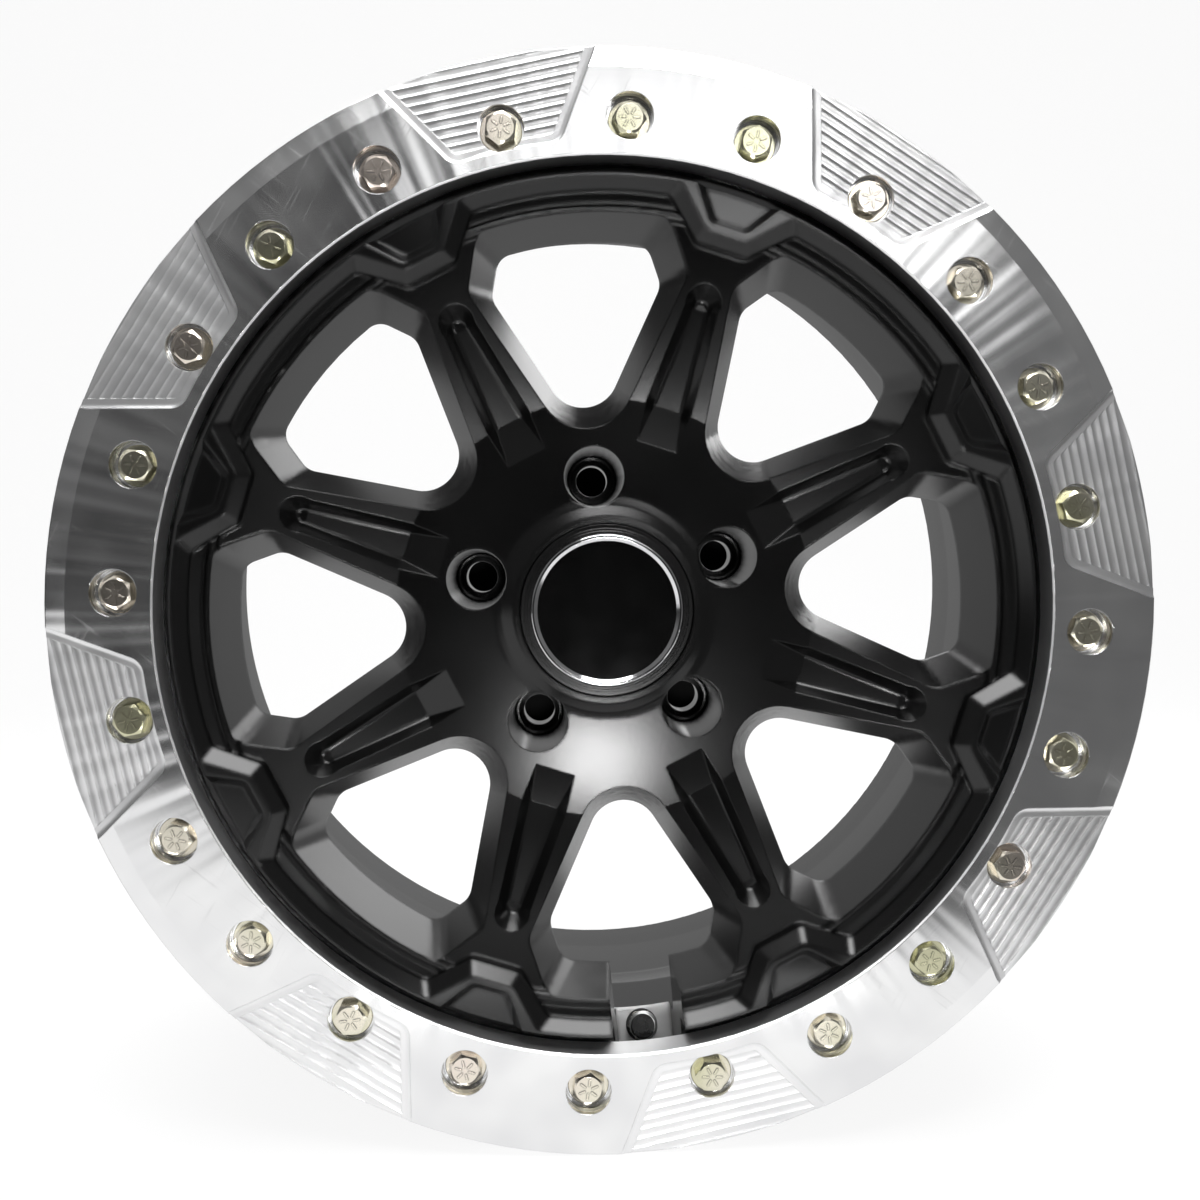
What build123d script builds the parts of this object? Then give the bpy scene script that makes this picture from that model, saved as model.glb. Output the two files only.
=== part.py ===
from build123d import *
import os
from math import atan2, ceil, cos, degrees, radians, sin, sqrt, tan

os.makedirs("parts", exist_ok=True)

# Rim and hub, millimetres and degrees
INCH = 25.4
RIM_WIDTH = 8.0 * INCH        # between the two bead planes
BEAD_SEAT_R = 218.3           # 17 inch bead seat, the size that the outer radii are set from
OFFSET = 30.0                 # hub face outboard of the rim's middle plane
LUG_COUNT = 5
LUG_CIRCLE_R = 60.0
LUG_HOLE_R = 7.5
BORE_R = 36.3
BORE_END_D = 44.0             # the hub bore stops here, short of the cap
SECTORS = 8                   # spokes, windows and ring pockets
CLOCK = 5.1                   # turn of the wheel that brings the valve to its place

# Beadlock ring
RING_T = 14.0
RING_RISE = 19.7              # rim of the ring above the bead seat
RING_WIDTH = 45.6             # from the ring's bore to its rim
RING_BEVEL_W = 9.4
RING_BEVEL_DROP = 2.2
RING_EDGE = 0.8
BOLT_COUNT = 24
BOLT_DROP = 9.6               # bolt circle inside the bead seat
COUNTERBORE_R = 10.0
COUNTERBORE_DEPTH = 9.0
POCKET_DEPTH = 3.6
POCKET_MARGIN = 5.6           # ring left between its bore and a pocket
POCKET_INNER_HALF = 23.2
POCKET_OUTER_HALF = 48.3
POCKET_CORNER = 8.0
POCKET_COVE = 2.6
SCALLOP_PITCH = 3.9
SCALLOP_R = 4.2
SCALLOP_SINK = 0.42
SCALLOP_BORDER = 4.6
POCKET_SHIFT = 1              # pockets sit one bolt clockwise of the spokes

# Ring bolts and washers
BOLT_R = 3.97
BOLT_LENGTH = 1.0 * INCH
BOLT_HEX = 12.7
BOLT_HEAD_H = 5.3
BOLT_CROWN_R = 5.7
BOLT_CROWN_ANGLE = 30.0
BOLT_HOLE_CLEAR = 0.35
THREAD_CLEAR = 0.03
THREAD_DEPTH = 24.0
WASHER_R = 9.0
WASHER_T = 1.6
MARK_LENGTH = 2.9
MARK_WIDTH = 0.7
MARK_HEIGHT = 0.25
MARK_START = 1.5

# Front face of the casting: depths are measured back from the ring's front face
HUB_FACE_D = 32.0
BOSS_WALL = 2.9               # boss left round the cap at its top
BOSS_SPREAD = 6.4             # the boss widens by this to its foot
BOSS_TOP_D = 19.6
CREASE_R = 94.6
LIP_GAP = 6.6                 # between the moulding and the ring's bore
LIP_TOP_D = 2.5
LIP_CONE_D = 8.0              # depth of the spoke cone where it meets the lip
CHANNEL_LAP = 1.6             # the ring overhangs the channel by this
CHANNEL_D = 17.0
BEAD_DROP = 12.4              # bead along the windows, inside the lip
BEAD_WIDTH = 2.2
BEAD_RISE = 2.0

# Wave of the moulding: foot and top of its sloping band
WAVE_FOOT_D = 8.0
WAVE_DROP = 1.0               # top of the band, inside the lip
WAVE_WIDTH = 4.6
TAB_DROP = 18.2               # top of a tab's end, inside the lip
TAB_WIDTH = 4.8
TAB_FOOT_HALF = 11.2
TAB_TOP_HALF = 9.2
TAB_FOOT_SPREAD = 28.0
TAB_TOP_SPREAD = 24.6
TAB_ROUND = 4.0

# Recess in each tab, open to the ring
RECESS_D = 7.0
RECESS_DROP = 11.7            # end of the recess floor, inside the lip
RECESS_FLOOR_HALF = 6.4
RECESS_FLOOR_SPREAD = 14.8
RECESS_SLOPE = 0.85
RECESS_ROUND = 3.5

# Windows, half sizes along the window's own radial line, at two depths
WIN_FRONT_D = 20.0
WIN_BACK_D = 50.0
WIN_OUTER_DROP = (15.5, 19.1)  # outer edge of the window, inside the lip
SPOKE_DROP = 48.5             # where the spoke's width is measured, inside the lip
SPOKE_HALF = (11.43, 20.48)
WIN_SIDE_SLOPE = 0.489
WIN_CORNER_DROP = 19.8        # where the corner's width is measured, inside the lip
WIN_CORNER_FLANK = (28.8594, 36.5594)  # from the spoke's middle line to the window's corner
WIN_CORNER_SLOPE = 0.331
WIN_END_R = (76.7, 89.5)
WIN_CORNER_ROUND = 9.0

# Groove along each spoke
GROOVE_DROP = 45.8            # round end of the groove, inside the lip
GROOVE_OUT_HALF = 3.2
GROOVE_OUT_DEPTH = 6.0
GROOVE_OUT_SLOPE = 0.75
GROOVE_IN_HALF = 6.3
GROOVE_IN_DEPTH = 4.6
GROOVE_IN_SLOPE = 0.95
GROOVE_END_R = 75.6
GROOVE_END_HALF = 9.4
GROOVE_ROUND = 2.4
GROOVE_BLEND = 0.2            # the straight run starts this far inside the round end

# Lug pockets
LUG_MOUTH_R = 13.7
LUG_FLOOR_R = 11.6
LUG_FLOOR_D = 69.5
LUG_SEAT_R = 9.9
LUG_SEAT_HALF_ANGLE = 30.0

# Back of the casting
PAD_MARGIN = 7.5              # pad left outside the lug holes
BACK_STEP = 17.0              # from the pad's edge to the back of the spokes
BACK_IN_D = 62.0
BACK_OUT_DROP = 19.2          # outer end of the spokes' back, inside the lip
BACK_OUT_D = 45.5

# Barrel
CLAMP_RISE = 17.2             # clamp flange above the bead seat
BEAD_GAP = 20.0               # room for the tyre's bead under the ring
CLAMP_T = 9.0
NECK_RISE = 3.7
NECK_BACK = 1.5
WELL_DROP = 18.8              # well of the barrel below the bead seat
WALL_T = 6.5
WELL_END_D = 84.0
SLOPE_END_D = 136.0
SLOPE_END_DROP = 4.8
HUMP_RISE = 1.1
HUMP_BACK = 25.7              # hump ahead of the rear bead plane
FLANGE_RISE = 17.3            # rear flange above the bead seat
FLANGE_T = 14.0

# Valve, in its own notch at the foot of one window
VALVE_TILT = 22.0
VALVE_RISE = 1.3              # the valve's axis meets its flat this far above the well
VALVE_BACK = 6.0              # and this far behind the clamp flange's neck
VALVE_WALL = 9.4
NOTCH_BACK_HALF = 12.9
NOTCH_FRONT_HALF = 16.6
NOTCH_REACH = 60.0
NOTCH_INWARD = 70.0
NOTCH_OUT = 10.5
NOTCH_SHIFT = 1.4             # the slot's middle beside the valve
NOTCH_ROUND = 5.0
VALVE_HOLE_R = 5.75
VALVE_SEAT_R = 8.6
VALVE_SEAT_SINK = 14.0
STEM_R = 5.15
STEM_TIP_R = 3.85
STEM_SHOULDER = 9.0
STEM_TOP = 24.0
STEM_FLANGE_R = 8.0
STEM_FLANGE_T = 4.0
GROMMET_R = 8.2
GROMMET_T = 3.0
GROMMET_SPIGOT = 6.0
VALVE_WASHER_R = 7.45
VALVE_WASHER_T = 1.2
VALVE_NUT_HEX = 12.0
VALVE_NUT_T = 6.0
VALVE_CAP_R = 6.35
VALVE_CAP_FOOT = 10.0
VALVE_CAP_TOP = 27.5
VALVE_CAP_BEVEL = 1.1
VALVE_CAP_RIBS = 18
CAP_SEAL_T = 1.0
CORE_R = 2.55
CORE_FOOT = 4.0
CORE_TOP = 17.6
CORE_FIT = 0.05
PIN_R = 0.6
PIN_HEAD_R = 1.1
PIN_HEAD_T = 1.0
PIN_TOP = 23.2
PLUG_R = 1.5
PLUG_T = 2.0
PIN_TRAVEL = 1.6
SPRING_WIRE_R = 0.15
SPRING_TURNS = 6
VALVE_GAP = 0.05

# Centre cap
CAP_R = 38.4
CAP_CLEAR = 0.3
CAP_SEAT_D = 24.0
CAP_BORE_DROP = 2.6           # the cap's bore inside its rim
CAP_TOP_D = 18.8
CAP_STEP_DROP = 2.0
CAP_STEP = 0.7
TRIM_DROP = 4.4               # trim ring inside the cap's rim
TRIM_WIDTH = 3.3
TRIM_RISE = 1.2
TRIM_SINK = 1.8
FACE_T = 1.6
FACE_SINK = 0.3
CAP_PLATE_T = 5.6
CAP_SKIRT_T = 2.6
CAP_SKIRT_END_D = 38.0
CAP_LEGS = 6
CAP_SLOT = 9.0
CLIP_WIRE_R = 0.9
CLIP_D = 33.0
CLIP_GAP = 16.0

# Radii and depths that follow from the sizes above
PITCH = 360 / SECTORS
RING_R = BEAD_SEAT_R + RING_RISE
RING_BORE_R = RING_R - RING_WIDTH
BOLT_CIRCLE_R = BEAD_SEAT_R - BOLT_DROP
POCKET_INNER_R = RING_BORE_R + POCKET_MARGIN
CHANNEL_R = RING_BORE_R + CHANNEL_LAP
LIP_R = RING_BORE_R - LIP_GAP
WAVE_TOP_R = LIP_R - WAVE_DROP
WAVE_FOOT_R = WAVE_TOP_R - WAVE_WIDTH
TAB_TOP_R = LIP_R - TAB_DROP
TAB_FOOT_R = TAB_TOP_R - TAB_WIDTH
BEAD_OUT_R = LIP_R - BEAD_DROP
BEAD_IN_R = BEAD_OUT_R - BEAD_WIDTH
RECESS_FLOOR_R = LIP_R - RECESS_DROP
WIN_OUTER_R = [LIP_R - drop for drop in WIN_OUTER_DROP]
WIN_CORNER_AT = LIP_R - WIN_CORNER_DROP
WIN_CORNER_HALF = [WIN_CORNER_AT * tan(radians(PITCH / 2)) - flank for flank in WIN_CORNER_FLANK]
WIN_SIDE_AT = LIP_R - SPOKE_DROP
WIN_SIDE_HALF = [
    WIN_SIDE_AT * tan(radians(PITCH / 2)) - half / cos(radians(PITCH / 2)) for half in SPOKE_HALF
]
GROOVE_OUT_R = LIP_R - GROOVE_DROP
PAD_R = LUG_CIRCLE_R + LUG_HOLE_R + PAD_MARGIN
BACK_IN_R = PAD_R + BACK_STEP
BACK_OUT_R = LIP_R - BACK_OUT_DROP
CLAMP_R = BEAD_SEAT_R + CLAMP_RISE
CLAMP_FRONT_D = RING_T + BEAD_GAP
CLAMP_NECK_R = BEAD_SEAT_R + NECK_RISE
CLAMP_NECK_D = CLAMP_FRONT_D + CLAMP_T + NECK_BACK
WELL_R = BEAD_SEAT_R - WELL_DROP
SLOPE_END_R = BEAD_SEAT_R - SLOPE_END_DROP
HUMP_R = BEAD_SEAT_R + HUMP_RISE
FLANGE_R = BEAD_SEAT_R + FLANGE_RISE
VALVE_R = WELL_R + VALVE_RISE
VALVE_D = CLAMP_NECK_D + VALVE_BACK
FRONT = RIM_WIDTH / 2 + RING_T
PAD_D = FRONT - OFFSET
REAR_BEAD_D = FRONT + RIM_WIDTH / 2
REAR_D = REAR_BEAD_D + FLANGE_T
HUMP_D = REAR_BEAD_D - HUMP_BACK
CONE_SLOPE = (HUB_FACE_D - LIP_CONE_D) / (LIP_R - CREASE_R)
BACK_SLOPE = (BACK_IN_D - BACK_OUT_D) / (BACK_OUT_R - BACK_IN_R)
CAP_SEAT_R = CAP_R + CAP_CLEAR
CAP_BORE_R = CAP_R - CAP_BORE_DROP
CAP_STEP_R = CAP_R - CAP_STEP_DROP
CAP_SKIRT_R = CAP_BORE_R - CAP_CLEAR
TRIM_R = CAP_R - TRIM_DROP
TRIM_IN_R = TRIM_R - TRIM_WIDTH
BOSS_TOP_R = CAP_SEAT_R + BOSS_WALL
BOSS_FOOT_R = BOSS_TOP_R + BOSS_SPREAD
PASSAGE_FOOT = CORE_FOOT - PLUG_T - 2 * PIN_TRAVEL


def level(depth):
    """Height, on the spin axis, of a point this far behind the ring's front face."""
    return FRONT - depth


def cone_depth(r):
    """Depth of the spokes' front cone at a radius."""
    return HUB_FACE_D - (r - CREASE_R) * CONE_SLOPE


def back_depth(r):
    """Depth of the spokes' back cone at a radius."""
    return BACK_IN_D - (r - BACK_IN_R) * BACK_SLOPE


def turned(points):
    """Solid turned about the spin axis from (radius, depth) corners, a third value rounds a corner."""
    corners = [Vector(p[0], 0, level(p[1])) for p in points]
    face = Face(Wire.make_polygon(corners))
    for corner, point in zip(corners, points):
        if len(point) > 2:
            face = face.fillet_2d(point[2], [face.vertices().sort_by_distance(corner)[0]])
    return revolve(face, axis=Axis.Z)


def around(solid, count, start=0.0):
    """Copies of a solid evenly spaced about the spin axis, clockwise from a start angle."""
    return [Rot(0, 0, -start - i * 360 / count) * solid for i in range(count)]


def flat_outline(points, rounds):
    """Flat face from corners, each rounded by the matching radius."""
    corners = [Vector(x, y, 0) for x, y in points]
    face = Face(Wire.make_polygon(corners))
    for corner, radius in zip(corners, rounds):
        if radius:
            face = face.fillet_2d(radius, [face.vertices().sort_by_distance(corner)[0]])
    return face


def at_depth(face, depth):
    """A flat face moved to a depth behind the ring's front face."""
    return Pos(0, 0, level(depth)) * face


# Wheel casting
def wave_outline(window_r, tab_r, tab_half, tab_spread, depth):
    """Inner outline of the moulding: arcs over the windows and a tab dipping over each spoke."""
    z = level(depth)
    bend = degrees(atan2(tab_spread, sqrt(window_r ** 2 - tab_spread ** 2)))
    edges = []
    for i in range(SECTORS):
        mid = 90 - i * PITCH
        tab = mid - PITCH / 2
        start = Vector(window_r, 0, z).rotate(Axis.Z, tab + PITCH - bend)
        top = Vector(window_r, 0, z).rotate(Axis.Z, mid)
        end = Vector(window_r, 0, z).rotate(Axis.Z, tab + bend)
        left = Vector(tab_r, tab_half, z).rotate(Axis.Z, tab)
        right = Vector(tab_r, -tab_half, z).rotate(Axis.Z, tab)
        following = Vector(window_r, 0, z).rotate(Axis.Z, tab - bend)
        edges.append(Edge.make_three_point_arc(start, top, end))
        edges.append(Edge.make_line(end, left))
        edges.append(Edge.make_line(left, right))
        edges.append(Edge.make_line(right, following))
    face = Face(Wire(edges))
    return face.fillet_2d(TAB_ROUND, face.vertices())


def moulding():
    """Raised lip inside the ring with its sloping band and the tabs over the spokes."""
    rise = (WAVE_FOOT_D - LIP_TOP_D)
    over = 2.0
    grow = over / rise
    foot = wave_outline(WAVE_FOOT_R, TAB_FOOT_R, TAB_FOOT_HALF, TAB_FOOT_SPREAD, WAVE_FOOT_D)
    top = wave_outline(
        WAVE_TOP_R + (WAVE_TOP_R - WAVE_FOOT_R) * grow,
        TAB_TOP_R + (TAB_TOP_R - TAB_FOOT_R) * grow,
        TAB_TOP_HALF + (TAB_TOP_HALF - TAB_FOOT_HALF) * grow,
        TAB_TOP_SPREAD + (TAB_TOP_SPREAD - TAB_FOOT_SPREAD) * grow,
        LIP_TOP_D - over,
    )
    ring_depth = CHANNEL_D - 1
    block = Pos(0, 0, level(ring_depth)) * Cylinder(
        LIP_R, ring_depth - LIP_TOP_D, align=(Align.CENTER, Align.CENTER, Align.MIN)
    )
    slope = loft([foot, top], ruled=True)
    shaft = extrude(foot, amount=ring_depth, dir=(0, 0, -1))
    return block - slope - shaft


def casting_blank():
    """Turned body of the casting: hub, spoke disc, bolt shoulder, clamp flange and barrel."""
    shoulder = BEAD_SEAT_R
    inner = WELL_R - WALL_T
    lean = radians(VALVE_TILT)
    seat_r = VALVE_R + VALVE_WALL * sin(lean)
    seat_d = VALVE_D + VALVE_WALL * cos(lean)
    brow_r = seat_r + (VALVE_SEAT_R + 1.0) * cos(lean)
    brow_d = seat_d - (VALVE_SEAT_R + 1.0) * sin(lean)
    well_d = seat_d + (seat_r - WELL_R) * tan(lean)
    return turned([
        (BORE_R, PAD_D - 1.5),
        (BORE_R, BORE_END_D),
        (CAP_BORE_R, BORE_END_D),
        (CAP_BORE_R, CAP_SEAT_D),
        (CAP_SEAT_R, CAP_SEAT_D),
        (CAP_SEAT_R, BOSS_TOP_D + 0.5),
        (CAP_SEAT_R + 0.5, BOSS_TOP_D),
        (BOSS_TOP_R, BOSS_TOP_D, 2.6),
        (BOSS_FOOT_R, HUB_FACE_D, 5.0),
        (CREASE_R, HUB_FACE_D),
        (BEAD_IN_R - 1.4, cone_depth(BEAD_IN_R - 1.4)),
        (BEAD_IN_R - 0.2, cone_depth(BEAD_IN_R) - BEAD_RISE, 1.0),
        (BEAD_OUT_R, cone_depth(BEAD_OUT_R) - BEAD_RISE, 1.0),
        (BEAD_OUT_R + 1.2, cone_depth(BEAD_OUT_R) + 0.7),
        (BEAD_OUT_R + 2.4, cone_depth(BEAD_OUT_R + 2.4)),
        (LIP_R, LIP_CONE_D),
        (LIP_R, CHANNEL_D, 1.5),
        (CHANNEL_R, CHANNEL_D, 1.5),
        (CHANNEL_R, RING_T),
        (shoulder - 1.0, RING_T),
        (shoulder, RING_T + 1.0),
        (shoulder, CLAMP_FRONT_D - 1.0, 3.0),
        (CLAMP_R - 1.5, CLAMP_FRONT_D, 0.8),
        (CLAMP_R, CLAMP_FRONT_D + 1.5, 0.8),
        (CLAMP_R, CLAMP_FRONT_D + CLAMP_T - 2.0, 1.5),
        (CLAMP_R - 2.5, CLAMP_FRONT_D + CLAMP_T, 1.5),
        (CLAMP_NECK_R, CLAMP_NECK_D, 6.0),
        (brow_r, brow_d, 6.0),
        (WELL_R, well_d, 4.0),
        (WELL_R, WELL_END_D, 12.0),
        (SLOPE_END_R, SLOPE_END_D, 20.0),
        (BEAD_SEAT_R - 2.6, HUMP_D - 7.0, 8.0),
        (HUMP_R, HUMP_D - 1.5, 2.0),
        (HUMP_R, HUMP_D + 1.5, 2.0),
        (BEAD_SEAT_R - 1.3, HUMP_D + 6.0, 4.0),
        (BEAD_SEAT_R, REAR_BEAD_D, 6.5),
        (FLANGE_R, REAR_BEAD_D, 7.0),
        (FLANGE_R, REAR_D, 4.0),
        (BEAD_SEAT_R - 2.0, REAR_D, 2.0),
        (BEAD_SEAT_R - WALL_T, REAR_D - 5.0, 4.0),
        (BEAD_SEAT_R - WALL_T - 1.4, HUMP_D, 20.0),
        (SLOPE_END_R - WALL_T, SLOPE_END_D, 20.0),
        (inner, WELL_END_D + 2.0, 8.0),
        (inner, back_depth(inner), 5.0),
        (BACK_IN_R, BACK_IN_D, 14.0),
        (PAD_R + 6.0, BACK_IN_D + 4.0, 8.0),
        (PAD_R, PAD_D, 2.0),
        (BORE_R + 1.5, PAD_D),
    ])


def window_outline(depth):
    """Outline of a window, drawn about the window's own radial line, at a depth."""
    share = (depth - WIN_FRONT_D) / (WIN_BACK_D - WIN_FRONT_D)

    def there(pair):
        return pair[0] + (pair[1] - pair[0]) * share

    outer = there(WIN_OUTER_R)
    side = there(WIN_SIDE_HALF)
    corner = there(WIN_CORNER_HALF)
    end = there(WIN_END_R)
    turn = ((corner + WIN_CORNER_SLOPE * WIN_CORNER_AT) - (side - WIN_SIDE_SLOPE * WIN_SIDE_AT))
    knee_at = turn / (WIN_SIDE_SLOPE + WIN_CORNER_SLOPE)
    knee = side + WIN_SIDE_SLOPE * (knee_at - WIN_SIDE_AT)
    tip = WIN_SIDE_AT - side / WIN_SIDE_SLOPE
    lean = atan2(WIN_SIDE_SLOPE, 1)
    centre = (end - sin(lean) * tip) / (1 - sin(lean))
    radius = centre - end
    touch = (centre - radius * sin(lean), radius * cos(lean))
    base = corner + WIN_CORNER_SLOPE * WIN_CORNER_AT
    a = 1 + WIN_CORNER_SLOPE ** 2
    b = -2 * WIN_CORNER_SLOPE * base
    c = base ** 2 - outer ** 2
    reach = (-b + sqrt(b * b - 4 * a * c)) / (2 * a)
    shoulder = base - WIN_CORNER_SLOPE * reach
    z = level(depth)
    edges = [
        Edge.make_three_point_arc((-shoulder, reach, z), (0, outer, z), (shoulder, reach, z)),
        Edge.make_line((shoulder, reach, z), (knee, knee_at, z)),
        Edge.make_line((knee, knee_at, z), (touch[1], touch[0], z)),
        Edge.make_three_point_arc((touch[1], touch[0], z), (0, end, z), (-touch[1], touch[0], z)),
        Edge.make_line((-touch[1], touch[0], z), (-knee, knee_at, z)),
        Edge.make_line((-knee, knee_at, z), (-shoulder, reach, z)),
    ]
    face = Face(Wire(edges))
    bends = [
        face.vertices().sort_by_distance(Vector(x, y, z))[0]
        for x, y in ((shoulder, reach), (knee, knee_at), (-knee, knee_at), (-shoulder, reach))
    ]
    return face.fillet_2d(WIN_CORNER_ROUND, bends)


def window():
    """Cutter of one window, drafted so that the opening narrows towards the back."""
    return loft([window_outline(-2.0), window_outline(PAD_D - 4.0)], ruled=True)


def groove():
    """Cutter of one spoke groove: sloping walls, round outer end, floor running out on the hub face."""
    over = 9.0
    floor_out = cone_depth(GROOVE_OUT_R) + GROOVE_OUT_DEPTH
    floor_in = cone_depth(CREASE_R) + GROOVE_IN_DEPTH
    run_out = HUB_FACE_D - 0.3
    tall_out = GROOVE_OUT_DEPTH + over
    tall_in = GROOVE_IN_DEPTH + over

    def section(r, half, floor, tall, slope):
        wide = half + tall * slope
        return Face(Wire.make_polygon([
            Vector(-half, r, level(floor)),
            Vector(half, r, level(floor)),
            Vector(wide, r, level(floor - tall)),
            Vector(-wide, r, level(floor - tall)),
        ]))

    start = (GROOVE_OUT_HALF - GROOVE_BLEND, floor_out - GROOVE_BLEND)
    outer = section(GROOVE_OUT_R, *start, tall_out - GROOVE_BLEND, GROOVE_OUT_SLOPE)
    inner = section(CREASE_R, GROOVE_IN_HALF, floor_in, tall_in, GROOVE_IN_SLOPE)
    end = section(GROOVE_END_R, GROOVE_END_HALF, run_out, over, GROOVE_IN_SLOPE)
    trough = loft([outer, inner], ruled=True)
    ramp = loft([inner, end], ruled=True)
    nose = Pos(0, GROOVE_OUT_R, level(floor_out)) * Cone(
        GROOVE_OUT_HALF, GROOVE_OUT_HALF + tall_out * GROOVE_OUT_SLOPE, tall_out,
        align=(Align.CENTER, Align.CENTER, Align.MIN),
    )
    trough = fillet(floor_sides(trough), GROOVE_ROUND)
    nose = fillet(nose.edges().sort_by(Axis.Z)[0], GROOVE_ROUND)
    return trough + nose + ramp


def floor_sides(cutter):
    """The two edges along the floor of a straight groove cutter."""
    lengthwise = [e for e in cutter.edges() if abs(e.tangent_at(0.5).X) < 0.9]
    lengthwise = [e for e in lengthwise if e.length > 0.9 * (cutter.bounding_box().size.Y)]
    return ShapeList(lengthwise).sort_by(lambda e: abs(e.center().X))[:2]


def tab_recess():
    """Cutter of the recess in a tab, a scoop with sloping walls open to the ring."""
    tall = RECESS_D - LIP_TOP_D + 3.0
    grow = tall * RECESS_SLOPE
    out = CHANNEL_R - 3.0

    def outline(spread, depth):
        lean = (RECESS_FLOOR_SPREAD - RECESS_FLOOR_HALF) / (LIP_R - RECESS_FLOOR_R)
        inner = RECESS_FLOOR_R - spread
        half = RECESS_FLOOR_HALF + spread * (sqrt(1 + lean ** 2) - lean)
        wide = half + (out - inner) * lean
        face = flat_outline(
            [(-wide, out), (wide, out), (half, inner), (-half, inner)],
            [0, 0, RECESS_ROUND + spread * 0.3, RECESS_ROUND + spread * 0.3],
        )
        return at_depth(face, depth)

    return loft([outline(0, RECESS_D), outline(grow, RECESS_D - tall)], ruled=True)


def lug_pocket():
    """Cutter of a lug hole: tapered pocket, conical seat and stud hole."""
    seat_drop = (LUG_SEAT_R - LUG_HOLE_R) / tan(radians(LUG_SEAT_HALF_ANGLE))
    wall = (LUG_MOUTH_R - LUG_FLOOR_R) / (LUG_FLOOR_D - HUB_FACE_D)
    mouth = LUG_MOUTH_R + wall * HUB_FACE_D
    bore = turned([
        (0, PAD_D + 5),
        (LUG_HOLE_R, PAD_D + 5),
        (LUG_HOLE_R, LUG_FLOOR_D + seat_drop),
        (LUG_SEAT_R, LUG_FLOOR_D),
        (LUG_FLOOR_R, LUG_FLOOR_D, 1.2),
        (mouth, 0),
        (0, 0),
    ])
    return Pos(0, LUG_CIRCLE_R, 0) * bore


VALVE_FRAME = Plane(
    origin=(0, -VALVE_R, level(VALVE_D)),
    x_dir=(1, 0, 0),
    z_dir=(0, sin(radians(VALVE_TILT)), cos(radians(VALVE_TILT))),
)


def valve_notch():
    """Cutter of the valve's slot, its flat floor and the hole through the wall."""

    def outline(half, z):
        face = flat_outline(
            [(-half, -NOTCH_OUT), (half, -NOTCH_OUT), (half, NOTCH_INWARD), (-half, NOTCH_INWARD)],
            [NOTCH_ROUND, NOTCH_ROUND, 0, 0],
        )
        return Pos(NOTCH_SHIFT, 0, z) * face

    slot = loft([outline(NOTCH_BACK_HALF, 0), outline(NOTCH_FRONT_HALF, NOTCH_REACH)], ruled=True)
    hole = Pos(0, 0, -VALVE_WALL / 2) * Cylinder(VALVE_HOLE_R, 4 * VALVE_WALL)
    seat = Pos(0, 0, -VALVE_WALL) * Cylinder(
        VALVE_SEAT_R, VALVE_SEAT_SINK, align=(Align.CENTER, Align.CENTER, Align.MAX)
    )
    return VALVE_FRAME * slot, VALVE_FRAME * hole, VALVE_FRAME * seat


def bolt_angle(i):
    """Clockwise angle of a ring bolt, the first one half a pitch from the top."""
    return (i + 0.5) * 360 / BOLT_COUNT


def wheel_casting():
    """The one-piece casting with everything cut into it."""
    body = casting_blank() + moulding()
    body = body - around(window(), SECTORS)
    body = body - around(groove(), SECTORS, PITCH / 2)
    body = body - around(tab_recess(), SECTORS, PITCH / 2)
    body = body - around(lug_pocket(), LUG_COUNT)
    tap = Pos(0, BOLT_CIRCLE_R, level(RING_T)) * Cylinder(
        BOLT_R + THREAD_CLEAR, THREAD_DEPTH, align=(Align.CENTER, Align.CENTER, Align.MAX)
    )
    body = body - around(tap, BOLT_COUNT, bolt_angle(0))
    for cutter in valve_notch():
        body = body - cutter
    return body


# Beadlock ring
def pocket_outline(inset):
    """Outline of a ring pocket drawn in by an inset, open past the rim."""
    lean = (POCKET_OUTER_HALF - POCKET_INNER_HALF) / (RING_R - RING_BEVEL_DROP - POCKET_INNER_R)
    out = RING_R + 8.0
    inner = POCKET_INNER_R + inset
    shrink = inset * sqrt(1 + lean ** 2)
    half = POCKET_INNER_HALF + lean * inset - shrink
    wide = half + lean * (out - inner)
    drop = inner - sqrt(inner ** 2 - half ** 2)
    edges = [
        Edge.make_line((-wide, out, 0), (wide, out, 0)),
        Edge.make_line((wide, out, 0), (half, inner - drop, 0)),
        Edge.make_three_point_arc((half, inner - drop, 0), (0, inner, 0), (-half, inner - drop, 0)),
        Edge.make_line((-half, inner - drop, 0), (-wide, out, 0)),
    ]
    face = Face(Wire(edges))
    corners = [
        face.vertices().sort_by_distance(Vector(x, inner - drop, 0))[0] for x in (half, -half)
    ]
    return face.fillet_2d(max(POCKET_CORNER - inset, 1.0), corners)


def ring_pocket():
    """Cutter of one ring pocket: coved walls and a floor of straight scallops."""
    plan = pocket_outline(0.0)
    well = extrude(at_depth(plan, POCKET_DEPTH), amount=POCKET_DEPTH + 2.0, dir=(0, 0, 1))
    floor = [e for e in well.edges() if abs(e.center().Z - level(POCKET_DEPTH)) < 1e-6]
    floor = [e for e in floor if e.center().Y < RING_R + 7.9]
    well = fillet(floor, POCKET_COVE)
    inset = at_depth(pocket_outline(SCALLOP_BORDER), POCKET_DEPTH + 2.0)
    border = extrude(inset, amount=3.0, dir=(0, 0, 1))
    rows = ceil((RING_R + 2.0 - POCKET_INNER_R - SCALLOP_BORDER) / SCALLOP_PITCH)
    tools = []
    for i in range(rows):
        y = POCKET_INNER_R + SCALLOP_BORDER + (i + 0.3) * SCALLOP_PITCH
        z = level(POCKET_DEPTH + SCALLOP_SINK) + SCALLOP_R
        tools.append(Pos(0, y, z) * Rot(0, 90, 0) * Cylinder(SCALLOP_R, 2.4 * POCKET_OUTER_HALF))
    scallops = border & (Part() + tools)
    return well, scallops


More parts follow.
